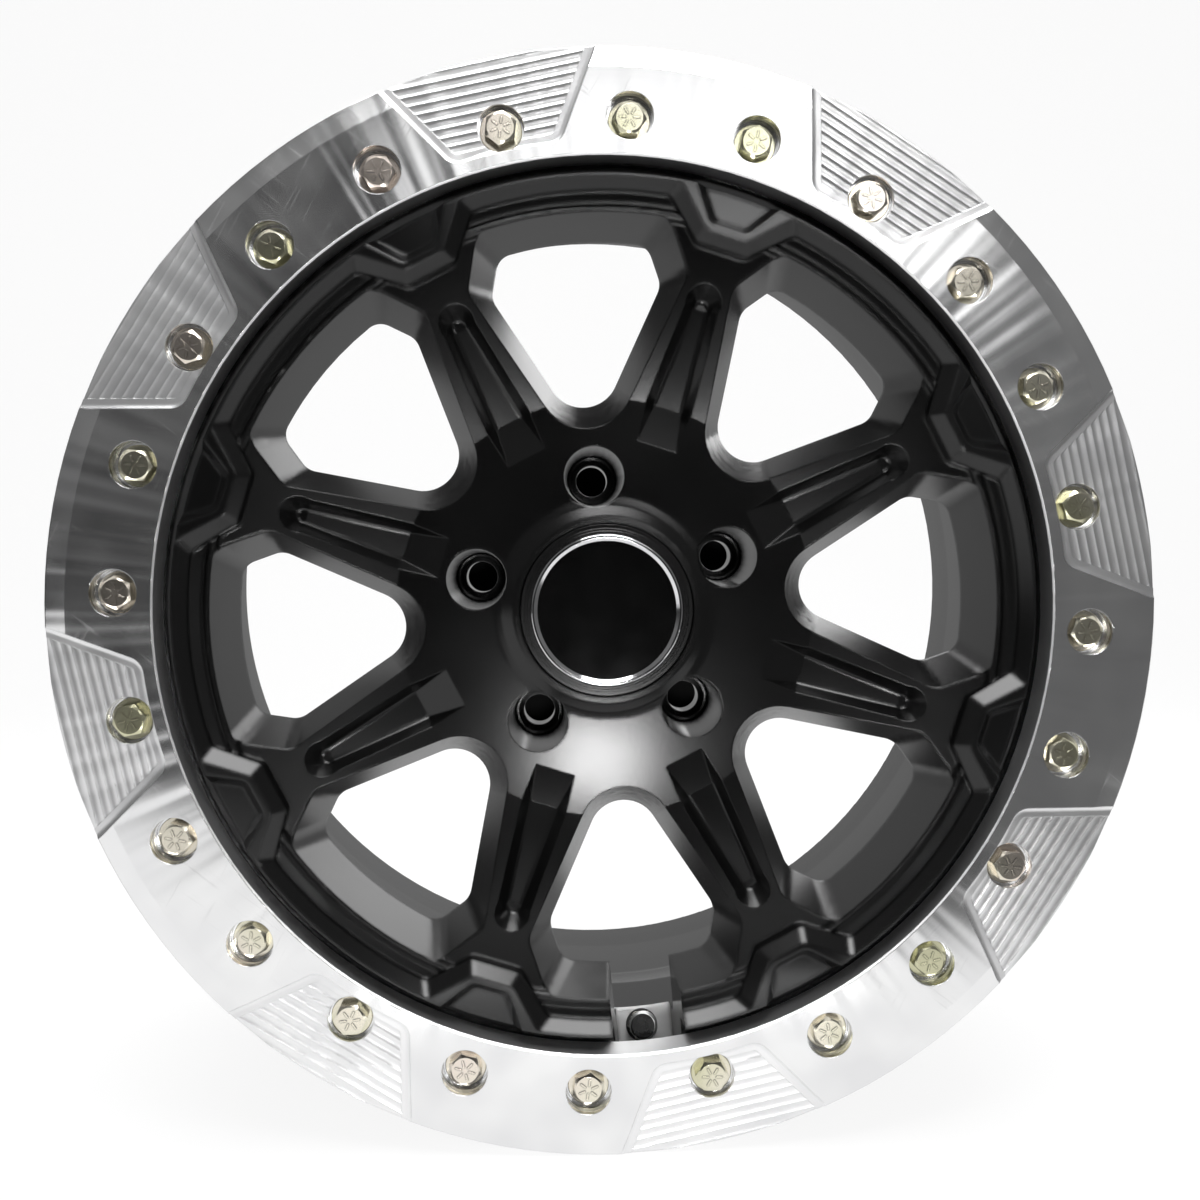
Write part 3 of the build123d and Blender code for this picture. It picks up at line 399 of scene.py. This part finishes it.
@dataclass(frozen=True)
class TurnedAluminium(Finish):
    """Bare aluminium turned on a lathe and clear coated.

    It gives the eye a bright mirror drawn out across the turning marks, with cloudy patches where it was
    handled.
    """

    # Real turning marks are about 0.2 mm apart; they are drawn coarser so that they show.
    mark_mm: float = 1.7
    mark_depth_mm: float = 0.0035
    wave_mm: float = 24.0
    wave_depth_mm: float = 0.03
    # Chatter of the tool leaves shallow ridges that run from the bore to the rim.
    chatter_per_turn: float = 110.0
    chatter_depth_mm: float = 0.8
    drawn_out: float = 0.45
    # The pockets' floors lie between these planes and were milled, not turned.
    milled_y_mm: Span = (-113.0, -110.4)
    milled_roughness: float = 0.36
    # The pockets' ribs catch the light as if they were shallower than they are cut.
    rib_lean: float = 0.24
    # Faces turned to the front by the first cosine or more are floor and ribs; below the second, walls.
    rib_facing: Span = (0.86, 0.80)
    # Width over which one zone passes into the next.
    fade_mm: float = 0.2
    # The bore was left dull.
    bore_r_mm: float = 193.0
    bore_roughness: float = 0.5
    # Real scratches are hairlines; they are drawn 0.9 mm wide so that they show.
    scratch_mm: Span = (0.9, 26.0)
    scratch_leans: tuple[float, ...] = (28.0, -52.0)
    scratched_roughness: float = 0.25
    # Only the crests of the noise are scratches, and only some patches have them.
    scratch_crest: Span = (0.68, 0.76)
    scratch_patch: Span = (0.40, 0.60)

    def milled(self, tree: Tree, place: Socket) -> Socket:
        """Tell the milled pockets from the turned face.

        Args:
            tree: The material's nodes.
            place: Place on the object in metres.

        Returns:
            One in the pockets, zero on the face.
        """
        depth = add_node(tree, "ShaderNodeSeparateXYZ", links={"Vector": place}).outputs["Y"]
        front, rear = self.milled_y_mm
        fade = self.fade_mm
        above = add_node(
            tree, "ShaderNodeMapRange", {1: (rear - fade) * MM, 2: (rear + fade) * MM, 3: 1.0, 4: 0.0},
            {0: depth},
        )
        return add_node(
            tree, "ShaderNodeMapRange", {1: (front - fade) * MM, 2: (front + fade) * MM, 3: 0.0},
            {0: depth, 4: above.outputs[0]},
        ).outputs[0]

    def edges(self, tree: Tree, place: Socket) -> Socket:
        """Soften sharp edges and the pockets' ribs.

        Args:
            tree: The material's nodes.
            place: Place on the object in metres.

        Returns:
            Normal with the edges and ribs softened.
        """
        soft = super().edges(tree, place)
        floor = add_node(tree, "ShaderNodeMapRange", {4: self.rib_lean}, {0: self.milled(tree, place)})
        tilt = add_node(tree, "ShaderNodeSeparateXYZ", links={"Vector": soft}).outputs["Y"]
        most, least = self.rib_facing
        ribs = add_node(
            tree, "ShaderNodeMapRange", {1: -most, 2: -least, 4: 0.0}, {0: tilt, 3: floor.outputs[0]}
        )
        return lean_forward(tree, soft, ribs.outputs[0])

    def surface(self, tree: Tree, shader: Node, place: Socket) -> None:
        """Scratched face and duller pockets.

        Args:
            tree: The material's nodes.
            shader: The material's shader.
            place: Place on the object in metres.
        """
        super().surface(tree, shader, place)
        worn = shader.inputs["Roughness"].links[0].from_socket
        fine, long = self.scratch_mm
        where = add_node(
            tree, "ShaderNodeTexNoise", {"Scale": 1 / (self.patch_mm * MM), "Detail": 2.0},
            {"Vector": place},
        )
        for lean in self.scratch_leans:
            laid = add_node(
                tree, "ShaderNodeMapping",
                {
                    "vector_type": "TEXTURE", "Rotation": (0.0, math.radians(lean), 0.0),
                    "Scale": (fine * MM, 1.0, long * MM),
                },
                {"Vector": place},
            )
            lines = add_node(
                tree, "ShaderNodeTexNoise", {"Scale": 1.0, "Detail": 0.0},
                {"Vector": laid.outputs["Vector"]},
            )
            low, high = self.scratch_crest
            cut = add_node(tree, "ShaderNodeMapRange", {1: low, 2: high}, {0: lines.outputs["Fac"]})
            low, high = self.scratch_patch
            kept = add_node(
                tree, "ShaderNodeMapRange", {1: low, 2: high, 3: 0.0},
                {0: where.outputs["Fac"], 4: cut.outputs[0]},
            )
            worn = add_node(
                tree, "ShaderNodeMapRange", {4: self.scratched_roughness}, {0: kept.outputs[0], 3: worn}
            ).outputs[0]
        both = add_node(
            tree, "ShaderNodeMapRange", {4: self.milled_roughness}, {0: self.milled(tree, place), 3: worn}
        )
        whole = add_node(
            tree, "ShaderNodeMapRange",
            {
                1: (self.bore_r_mm - self.fade_mm) * MM, 2: (self.bore_r_mm + self.fade_mm) * MM,
                3: self.bore_roughness,
            },
            {0: axis_radius(tree, place), 4: both.outputs[0]},
        )
        tree.links.new(whole.outputs[0], shader.inputs["Roughness"])

    def relief(self, tree: Tree, shader: Node, place: Socket, edge: Socket) -> None:
        """Turning marks round the wheel's axis, over chatter and a faint waviness.

        Args:
            tree: The material's nodes.
            shader: The material's shader.
            place: Place on the object in metres.
            edge: Normal with the edges softened.
        """
        marks = add_node(
            tree, "ShaderNodeTexNoise",
            {"noise_dimensions": "1D", "Scale": 1 / (self.mark_mm * MM), "Detail": 1.0},
            {"W": axis_radius(tree, place)},
        )
        flat = add_node(
            tree, "ShaderNodeVectorMath", {"operation": "MULTIPLY", 1: (1.0, 0.0, 1.0)}, {0: place}
        )
        bearing = add_node(tree, "ShaderNodeVectorMath", {"operation": "NORMALIZE"}, {0: flat.outputs[0]})
        ridges = add_node(
            tree, "ShaderNodeTexNoise", {"Scale": self.chatter_per_turn / math.tau, "Detail": 1.0},
            {"Vector": bearing.outputs[0]},
        )
        waves = add_node(
            tree, "ShaderNodeTexNoise", {"Scale": 1 / (self.wave_mm * MM), "Detail": 1.0}, {"Vector": place}
        )
        swell = add_node(
            tree, "ShaderNodeBump", {"Strength": 1.0, "Distance": self.wave_depth_mm * MM},
            {"Height": waves.outputs["Fac"], "Normal": edge},
        )
        ribbed = add_node(
            tree, "ShaderNodeBump", {"Strength": 1.0, "Distance": self.chatter_depth_mm * MM},
            {"Height": ridges.outputs["Fac"], "Normal": swell.outputs["Normal"]},
        )
        bump = add_node(
            tree, "ShaderNodeBump", {"Strength": 1.0, "Distance": self.mark_depth_mm * MM},
            {"Height": marks.outputs["Fac"], "Normal": ribbed.outputs["Normal"]},
        )
        tree.links.new(bump.outputs["Normal"], shader.inputs["Normal"])
        shader.inputs["Anisotropic"].default_value = self.drawn_out
        round_about = add_node(tree, "ShaderNodeTangent", {"direction_type": "RADIAL", "axis": "Y"})
        tree.links.new(round_about.outputs["Tangent"], shader.inputs["Tangent"])


@dataclass(frozen=True)
class YellowZinc(Finish):
    """Steel plated with zinc and passivated yellow.

    It gives the eye a pale gold that drifts to green and pink from bolt to bolt.
    """

    blush: str = "#e6dbd1"
    drift_mm: float = 55.0
    # Painted shade: within this reach of a corner the plating's colour is darkened, down to the kept share.
    corner_shade_mm: float = 0.9
    corner_shade_kept: float = 0.12
    corner_shade_range: Span = (0.55, 0.95)
    # Where in the drift the dark, light and blushing tints lie.
    tints_at: tuple[float, float, float] = (0.35, 0.5, 0.66)

    def surface(self, tree: Tree, shader: Node, place: Socket) -> None:
        """Gold that drifts in colour over the bolts, with shade painted darker into the corners.

        Args:
            tree: The material's nodes.
            shader: The material's shader.
            place: Place on the object in metres.
        """
        super().surface(tree, shader, place)
        drift = add_node(
            tree, "ShaderNodeTexNoise", {"Scale": 1 / (self.drift_mm * MM), "Detail": 1.5},
            {"Vector": place},
        ).outputs["Fac"]
        ramp = add_node(tree, "ShaderNodeValToRGB", links={"Fac": drift})
        first, second, third = self.tints_at
        ramp.color_ramp.elements[0].position = first
        ramp.color_ramp.elements[0].color = to_linear(self.dark)
        ramp.color_ramp.elements[1].position = third
        ramp.color_ramp.elements[1].color = to_linear(self.blush)
        middle = ramp.color_ramp.elements.new(second)
        middle.color = to_linear(self.light)
        # Painted shade: ambient occlusion darkens the colour in corners and at the feet of the head marks.
        corners = add_node(
            tree, "ShaderNodeAmbientOcclusion",
            {"samples": CORNER_SHADE_SAMPLES, "only_local": True, "Distance": self.corner_shade_mm * MM},
        )
        low, high = self.corner_shade_range
        painted_corner_shade = add_node(
            tree, "ShaderNodeMapRange", {1: low, 2: high, 3: self.corner_shade_kept}, {0: corners.outputs["AO"]}
        )
        shown = add_node(
            tree, "ShaderNodeVectorMath", {"operation": "SCALE"},
            {0: ramp.outputs["Color"], "Scale": painted_corner_shade.outputs[0]},
        )
        tree.links.new(shown.outputs[0], shader.inputs["Base Color"])


@dataclass(frozen=True)
class PlainFinish(Finish):
    """A plain moulded, drawn or plated surface.

    It gives the eye one colour with the fine texture of its making.
    """

    grain: Grain = Grain.MOULDED
    grain_mm: float = 0.8
    grain_depth_mm: float = 0.004
    # Plating hides most of the grain, and drawing pulls it out lengthwise.
    plated_share: float = 0.3
    drawn_scale: Point = (1.0, 0.15, 1.0)

    def relief(self, tree: Tree, shader: Node, place: Socket, edge: Socket) -> None:
        """Fine texture: an even grain when moulded, lines when drawn, and next to none when plated.

        Args:
            tree: The material's nodes.
            shader: The material's shader.
            place: Place on the object in metres.
            edge: Normal with the edges softened.
        """
        depth = self.grain_depth_mm * MM * (self.plated_share if self.grain is Grain.PLATED else 1.0)
        stretch = self.drawn_scale if self.grain is Grain.DRAWN else (1.0, 1.0, 1.0)
        laid = add_node(tree, "ShaderNodeMapping", {"Scale": stretch}, {"Vector": place})
        grain = add_node(
            tree, "ShaderNodeTexNoise", {"Scale": 1 / (self.grain_mm * MM), "Detail": 2.0},
            {"Vector": laid.outputs["Vector"]},
        )
        bump = add_node(
            tree, "ShaderNodeBump", {"Strength": 1.0, "Distance": depth},
            {"Height": grain.outputs["Fac"], "Normal": edge},
        )
        tree.links.new(bump.outputs["Normal"], shader.inputs["Normal"])


@dataclass(frozen=True)
class RimmedNylon(PlainFinish):
    """Moulded black nylon whose end's chamfer is drawn as a thin band of bright metal, a painted highlight.

    It gives the eye a dull black disc inside a fine bright circle.
    """

    end_at_mm: Point = (16.5, -91.0, -190.0)
    towards: Point = (-0.030, -0.927, 0.374)
    painted_highlight_from_mm: float = 5.5
    painted_highlight_depth_mm: float = 1.3
    painted_highlight_colour: str = "#d4d4d4"
    painted_highlight_roughness: float = 0.4
    fade_mm: float = 0.1

    def surface(self, tree: Tree, shader: Node, place: Socket) -> None:
        """Nylon with a painted highlight: bright metal on its end's chamfer.

        Args:
            tree: The material's nodes.
            shader: The material's shader.
            place: Place on the object in metres.
        """
        super().surface(tree, shader, place)
        end = tuple(c * MM for c in self.end_at_mm)
        away = add_node(
            tree, "ShaderNodeVectorMath", {"operation": "SUBTRACT", 1: end}, {0: place}
        ).outputs[0]
        above = add_node(
            tree, "ShaderNodeVectorMath", {"operation": "DOT_PRODUCT", 1: self.towards}, {0: away}
        )
        front = add_node(
            tree, "ShaderNodeMapRange",
            {1: -(self.painted_highlight_depth_mm + self.fade_mm) * MM, 2: -self.painted_highlight_depth_mm * MM},
            {0: above.outputs["Value"]},
        )
        across = add_node(
            tree, "ShaderNodeVectorMath", {"operation": "CROSS_PRODUCT", 1: self.towards}, {0: away}
        )
        reach = add_node(tree, "ShaderNodeVectorMath", {"operation": "LENGTH"}, {0: across.outputs[0]})
        # Painted highlight: the chamfer at the end's edge is shown as bright metal.
        rim = add_node(
            tree, "ShaderNodeMapRange",
            {1: (self.painted_highlight_from_mm - self.fade_mm) * MM, 2: self.painted_highlight_from_mm * MM, 3: 0.0},
            {0: reach.outputs["Value"], 4: front.outputs[0]},
        )
        lay_over(tree, shader, rim.outputs[0], self.painted_highlight_colour, self.painted_highlight_roughness)


def dress_node(name: str, material: bpy.types.Material) -> None:
    """Give a piece of the frame its finish.

    Args:
        name: The piece's name.
        material: Its finish.
    """
    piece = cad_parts[name]
    piece.data.materials.clear()
    piece.data.materials.append(material)
    LOG.info("dressed %s in %s", name, material.name)


@dataclass
class WheelCasting:
    """The one-piece casting."""

    finish: Finish = SatinPowderCoat(
        "satin black powder coat on cast aluminium", "#040404", "#060606", 0.20, 0.02, 45.0, edge_mm=1.2
    )

    def dress(self) -> None:
        """Coat the casting."""
        dress_node("wheel_casting", self.finish.material())


@dataclass
class ClampRing:
    """The machined ring that clamps the tyre's bead."""

    finish: Finish = TurnedAluminium(
        "turned and clear-coated aluminium", "#e6e6e7", "#f3f3f3", 0.17, 0.035, 26.0, 1.0, 0.5, 1.0
    )

    def dress(self) -> None:
        """Give the ring its machined face."""
        dress_node("beadlock_ring", self.finish.material())


@dataclass
class RingFasteners:
    """The bolts and washers that hold the ring."""

    finish: Finish = YellowZinc(
        "yellow zinc-plated steel", "#cfcdae", "#e6e1d0", 0.22, 0.05, 9.0, 1.0, 0.22
    )

    def dress(self) -> None:
        """Plate the bolts and washers."""
        plated = self.finish.material()
        for name in ("ring_bolts", "ring_washers"):
            dress_node(name, plated)


@dataclass
class CentreCap:
    """The cap over the hub bore."""

    shell: Finish = PlainFinish("satin moulded ABS", "#070707", "#0b0b0b", 0.22, 0.03, edge_mm=0.4)
    disc: Finish = PlainFinish(
        "gloss lacquered ABS", "#060606", "#080808", 0.10, 0.02, 14.0, grain_mm=6.0, grain_depth_mm=0.003
    )
    trim: Finish = PlainFinish(
        "chrome-plated ABS", "#d3d3d5", "#e4e4e6", 0.10, 0.03, 8.0, 1.0, grain=Grain.PLATED
    )
    wire: Finish = PlainFinish(
        "drawn spring steel", "#8b8b8d", "#a3a3a5", 0.35, 0.05, 5.0, 1.0, grain=Grain.DRAWN
    )

    def dress(self) -> None:
        """Finish the cap's four pieces."""
        dress_node("cap_body", self.shell.material())
        dress_node("cap_face", self.disc.material())
        dress_node("cap_trim_ring", self.trim.material())
        dress_node("cap_clip", self.wire.material())


@dataclass
class TyreValve:
    """The clamped valve in its notch."""

    metal: Finish = PlainFinish(
        "nickel-plated brass", "#b9b6ae", "#cfccc4", 0.22, 0.04, 6.0, 1.0, grain=Grain.PLATED
    )
    brass: Finish = PlainFinish(
        "turned brass", "#c4a45c", "#d8bb78", 0.28, 0.05, 4.0, 1.0, grain=Grain.DRAWN
    )
    rubber: Finish = PlainFinish("moulded black rubber", "#0c0c0c", "#151515", 0.6, 0.08, 5.0)
    cap: Finish = RimmedNylon("moulded black nylon", "#101010", "#161616", 0.27, 0.04, 5.0, edge_mm=0.5)
    wire: Finish = PlainFinish(
        "tinned spring wire", "#8b8b8d", "#a3a3a5", 0.35, 0.05, 3.0, 1.0, grain=Grain.DRAWN
    )
    # The spring stands on the core barrel and gives way by the pin's travel.
    press_towards: Point = (0.0333, 0.927184, -0.373124)
    spring_mm: float = 4.6
    travel_mm: float = 1.6

    def build_spring(self) -> None:
        """Put a copy of the spring, in its wire finish, in the place of the stiff one."""
        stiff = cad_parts["valve_spring"]
        spring = bpy.data.objects.new("valve_spring_coil", stiff.data.copy())
        spring.matrix_world = stiff.matrix_world
        bpy.context.scene.collection.objects.link(spring)
        spring.data.materials.clear()
        spring.data.materials.append(self.wire.material())
        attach(spring, WHEEL_BODY)
        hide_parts("valve_spring")
        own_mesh(spring)
        LOG.info("built %s", spring.name)

    def dress(self) -> None:
        """Finish the valve's pieces."""
        metal = self.metal.material()
        brass = self.brass.material()
        rubber = self.rubber.material()
        for name in ("valve_stem", "valve_nut"):
            dress_node(name, metal)
        for name in ("valve_core", "valve_pin"):
            dress_node(name, brass)
        for name in ("valve_grommet", "valve_washer", "valve_cap_seal", "valve_core_seal"):
            dress_node(name, rubber)
        dress_node("valve_cap", self.cap.material())
        self.build_spring()


@dataclass(frozen=True)
class Panel:
    """A soft light panel.

    Attributes:
        name: What the panel is for.
        place: Its middle, in metres.
        aim: The point that it faces, in metres.
        size: Its width and height, in metres.
        glow: Its brightness, where one is white.
    """

    name: str
    place: Point
    aim: Point
    size: Span
    glow: float

    def build(self) -> None:
        """Hang the panel."""
        lamp = bpy.data.lights.new(self.name, "AREA")
        lamp.shape = "RECTANGLE"
        lamp.size, lamp.size_y = self.size
        # Blender's panel glows at a quarter of its energy per square metre.
        lamp.energy = 4 * self.glow * self.size[0] * self.size[1]
        hung = bpy.data.objects.new(self.name, lamp)
        hung.location = self.place
        hung.rotation_euler = (Vector(self.aim) - Vector(self.place)).to_track_quat("-Z", "Y").to_euler()
        hung.visible_camera = False
        bpy.context.scene.collection.objects.link(hung)


@dataclass
class Studio:
    """Floor, backdrop, light and camera, in metres."""

    # The paper sweep.
    floor_z: float = -0.2381
    front_y: float = -2.4
    back_y: float = 1.9
    half_width: float = 2.4
    cove: float = 0.6
    cove_steps: int = 12
    height: float = 2.6
    paper: str = "#fbfbfb"
    paper_roughness: float = 0.9
    shade_kept: float = 0.10
    # The room as mirrors see it: darker on the left, lighter above, and black straight ahead.
    gloom: Span = (0.045, 0.13)
    gloom_edge: Span = (-0.35, 0.42)
    upper_gloom: float = 0.17
    upper_edge: Span = (0.0, 0.2)
    ahead_gloom: float = 0.004
    ahead_edge: Span = (0.14, 0.33)
    fill: float = 0.3
    # The floor as mirrors see it: a dark front with a darker aisle, a bright pool and a dimmer back.
    floor_gloom: tuple[float, float, float] = (0.075, 0.02, 0.14)
    floor_aisle: Span = (0.2, 0.42)
    pool_slant: float = 0.67
    pool_edge: Span = (-0.64, -0.54)
    back_edge: Span = (0.1, 0.6)
    back_glow: float = 0.5
    # The black cards: a sheet of painted shade behind the hub, and a flag that only mirrors see.
    card_colour: str = "#050505"
    card_roughness: float = 0.9
    card_r: float = 0.070
    card_y: float = -0.0292
    card_sides: int = 64
    flag_x: Span = (-0.10, 0.125)
    flag_y: float = -0.20
    flag_z: Span = (-0.192, -0.12)
    # The camera, with its angles in degrees and its lens in millimetres.
    camera_at: Point = (-0.0219, -0.6156, 0.0290)
    camera_dip: float = 2.69
    camera_turn: float = -2.07
    camera_lens: float = 35.274
    camera_sensor: float = 36.0
    camera_near: float = 0.01
    panels: tuple[Panel, ...] = (
        Panel("front_panel", (0.055, -1.1, 0.56), (0.055, -0.1, 0.56), (0.49, 0.22), 0.98),
        Panel("right_panel", (0.41, -1.1, 0.51), (0.41, -0.1, 0.51), (0.22, 0.32), 0.98),
        Panel("moulding_strip", (0.19, -1.09, 0.420), (0.19, -0.1, 0.420), (0.30, 0.08), 7.0),
        Panel("canopy_panel", (0.06, -0.62, 1.45), (0.03, -0.25, 0.0), (1.1, 0.95), 6.5),
        Panel("front_strip", (0.12, -0.75, 1.0), (0.0, -0.1, 0.0), (0.7, 0.1), 9.0),
        Panel("overhead_panel", (0.0, 0.40, 1.10), (0.0, -0.1, 0.0), (1.0, 1.0), 4.5),
        Panel("low_panel", (0.012, -0.55, -0.153), (0.0, -0.0836, -0.065), (0.07, 0.055), 38.0),
        Panel("low_strip", (0.01, -0.322, -0.2375), (0.01, -0.322, 0.5), (0.27, 0.05), 3.0),
        Panel("rear_fill", (0.6, 1.4, 0.7), (0.0, 0.1, 0.0), (0.8, 0.8), 1.6),
    )

    def seen_white(self, tree: Tree, path: Node) -> Socket:
        """Tell the rays that see plain white from those that carry light.

        Args:
            tree: The nodes that use it.
            path: What is known of the ray.

        Returns:
            One for a ray that sees white, zero for the rest.
        """
        return add_node(
            tree, "ShaderNodeMath", {"operation": "MAXIMUM"},
            {0: path.outputs["Is Camera Ray"], 1: path.outputs["Is Transmission Ray"]},
        ).outputs[0]

    def build_world(self) -> None:
        """White to the eye, dark in front to what mirrors it, and an even fill for the rest."""
        world = bpy.data.worlds.new("studio")
        world.use_nodes = True
        bpy.context.scene.world = world
        tree = world.node_tree
        path = add_node(tree, "ShaderNodeLightPath")
        way = add_node(tree, "ShaderNodeTexCoord").outputs["Generated"]
        side = add_node(tree, "ShaderNodeSeparateXYZ", links={"Vector": way})
        near, far = self.gloom_edge
        dark, light = self.gloom
        room = add_node(
            tree, "ShaderNodeMapRange", {1: near, 2: far, 3: dark, 4: light}, {0: side.outputs["X"]}
        )
        near, far = self.upper_edge
        above = add_node(
            tree, "ShaderNodeMapRange", {1: near, 2: far, 4: self.upper_gloom},
            {0: side.outputs["Z"], 3: room.outputs[0]},
        )
        aside = add_node(tree, "ShaderNodeMath", {"operation": "ABSOLUTE"}, {0: side.outputs["X"]})
        near, far = self.ahead_edge
        ahead = add_node(
            tree, "ShaderNodeMapRange", {1: near, 2: far, 3: self.ahead_gloom},
            {0: aside.outputs[0], 4: above.outputs[0]},
        )
        base = add_node(
            tree, "ShaderNodeMapRange", {3: self.fill},
            {0: path.outputs["Is Glossy Ray"], 4: ahead.outputs[0]},
        )
        level = add_node(
            tree, "ShaderNodeMapRange", {4: 1.0}, {0: self.seen_white(tree, path), 3: base.outputs[0]}
        )
        tree.links.new(level.outputs[0], tree.nodes["Background"].inputs["Strength"])
        tree.nodes["Background"].inputs["Color"].default_value = (1.0, 1.0, 1.0, 1.0)

    def build_floor(self) -> None:
        """Lay the paper: floor, cove and backdrop in one sweep."""
        line = [(self.front_y, self.floor_z)]
        for i in range(self.cove_steps + 1):
            turn = math.pi / 2 * i / self.cove_steps
            line.append((
                self.back_y - self.cove + self.cove * math.sin(turn),
                self.floor_z + self.cove - self.cove * math.cos(turn),
            ))
        line.append((self.back_y, self.floor_z + self.height))
        mesh = bmesh.new()
        rows = [
            [mesh.verts.new((x, y, z)) for x in (-self.half_width, self.half_width)] for y, z in line
        ]
        for near, far in zip(rows, rows[1:]):
            mesh.faces.new((near[0], near[1], far[1], far[0])).smooth = True
        made = bpy.data.materials.new("white background paper")
        made.use_nodes = True
        tree = made.node_tree
        shader = tree.nodes["Principled BSDF"]
        shader.inputs["Base Color"].default_value = to_linear(self.paper)
        shader.inputs["Roughness"].default_value = self.paper_roughness
        path = add_node(tree, "ShaderNodeLightPath")
        place = add_node(tree, "ShaderNodeTexCoord").outputs["Object"]
        reach = add_node(
            tree, "ShaderNodeVectorMath", {"operation": "DOT_PRODUCT", 1: (-self.pool_slant, 1.0, 0.0)},
            {0: place},
        )
        side = add_node(tree, "ShaderNodeSeparateXYZ", links={"Vector": place}).outputs["X"]
        near, far = self.floor_aisle
        left, aisle, right = self.floor_gloom
        to_right = add_node(tree, "ShaderNodeMapRange", {1: near, 2: far, 3: aisle, 4: right}, {0: side})
        front = add_node(
            tree, "ShaderNodeMapRange", {1: -far, 2: -near, 3: left}, {0: side, 4: to_right.outputs[0]}
        )
        back = add_node(
            tree, "ShaderNodeMapRange",
            {1: self.back_edge[0], 2: self.back_edge[1], 3: 1.0, 4: self.back_glow},
            {0: reach.outputs["Value"]},
        )
        pool = add_node(
            tree, "ShaderNodeMapRange", {1: self.pool_edge[0], 2: self.pool_edge[1]},
            {0: reach.outputs["Value"], 3: front.outputs[0], 4: back.outputs[0]},
        )
        level = add_node(
            tree, "ShaderNodeMapRange", {3: 1.0}, {0: path.outputs["Is Glossy Ray"], 4: pool.outputs[0]}
        )
        white = add_node(tree, "ShaderNodeEmission", links={"Strength": level.outputs[0]})
        eyed = add_node(
            tree, "ShaderNodeMath", {"operation": "MULTIPLY", 1: 1 - self.shade_kept},
            {0: self.seen_white(tree, path)},
        )
        seen = add_node(
            tree, "ShaderNodeMath", {"operation": "MAXIMUM"},
            {0: eyed.outputs[0], 1: path.outputs["Is Glossy Ray"]},
        )
        both = add_node(
            tree, "ShaderNodeMixShader",
            links={0: seen.outputs[0], 1: shader.outputs["BSDF"], 2: white.outputs["Emission"]},
        )
        tree.links.new(both.outputs["Shader"], tree.nodes["Material Output"].inputs["Surface"])
        self.hang("paper", mesh, made)

    def build_cards(self) -> None:
        """Hang two black cards: one is a sheet of painted shade that makes the lug holes dark, and one
        keeps the floor off the hub.
        """
        # A black disc behind the hub paints shade into the lug holes.
        mesh = bmesh.new()
        turn = Matrix.Translation((0.0, self.card_y, 0.0)) @ Matrix.Rotation(math.pi / 2, 4, "X")
        bmesh.ops.create_circle(
            mesh, cap_ends=True, radius=self.card_r, segments=self.card_sides, matrix=turn
        )
        black = self.black_card()
        card = self.hang("lug_hole_shade_card", mesh, black)
        card.visible_glossy = False
        mesh = bmesh.new()
        left, right = self.flag_x
        low, high = self.flag_z
        corners = ((left, low), (left, high), (right, high), (right, low))
        mesh.faces.new([mesh.verts.new((x, self.flag_y, z)) for x, z in corners])
        flag = self.hang("floor_flag", mesh, black)
        flag.visible_camera = False
        flag.visible_diffuse = False
        flag.visible_shadow = False

    def hang(self, name: str, mesh: bmesh.types.BMesh, material: bpy.types.Material) -> bpy.types.Object:
        """Add a mesh to the studio.

        Args:
            name: The piece's name.
            mesh: Its shape, which is used up.
            material: Its finish.

        Returns:
            The new piece.
        """
        data = bpy.data.meshes.new(name)
        mesh.to_mesh(data)
        mesh.free()
        data.materials.append(material)
        piece = bpy.data.objects.new(name, data)
        bpy.context.scene.collection.objects.link(piece)
        return piece

    def black_card(self) -> bpy.types.Material:
        """Make the cards' material.

        Returns:
            Black on the front and clear from behind.
        """
        made = bpy.data.materials.new("black card")
        made.use_nodes = True
        tree = made.node_tree
        shader = tree.nodes["Principled BSDF"]
        shader.inputs["Base Color"].default_value = to_linear(self.card_colour)
        shader.inputs["Roughness"].default_value = self.card_roughness
        # Clear from behind, so the painted shade in the lug holes is seen only from the front.
        clear = add_node(tree, "ShaderNodeBsdfTransparent")
        face = add_node(tree, "ShaderNodeNewGeometry")
        both = add_node(
            tree, "ShaderNodeMixShader",
            links={0: face.outputs["Backfacing"], 1: shader.outputs["BSDF"], 2: clear.outputs["BSDF"]},
        )
        tree.links.new(both.outputs["Shader"], tree.nodes["Material Output"].inputs["Surface"])
        return made

    def build_camera(self) -> None:
        """Set the camera where the photograph was taken from."""
        lens = bpy.data.cameras.new("camera")
        lens.sensor_fit = "HORIZONTAL"
        lens.sensor_width = self.camera_sensor
        lens.lens = self.camera_lens
        lens.clip_start = self.camera_near
        camera = bpy.data.objects.new("camera", lens)
        camera.location = self.camera_at
        camera.rotation_euler = (math.radians(90 - self.camera_dip), 0.0, math.radians(self.camera_turn))
        bpy.context.scene.collection.objects.link(camera)
        bpy.context.scene.camera = camera

    def build(self) -> None:
        """Set up the whole studio."""
        bpy.context.scene.view_settings.view_transform = "Standard"
        self.build_world()
        self.build_floor()
        self.build_cards()
        for panel in self.panels:
            panel.build()
            LOG.info("hung %s", panel.name)
        self.build_camera()


def main() -> None:
    """Dress the wheel and set up the studio."""
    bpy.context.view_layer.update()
    for part in (WheelCasting(), ClampRing(), RingFasteners(), CentreCap(), TyreValve()):
        part.dress()
    Studio().build()


if __name__ == "__main__":
    main()
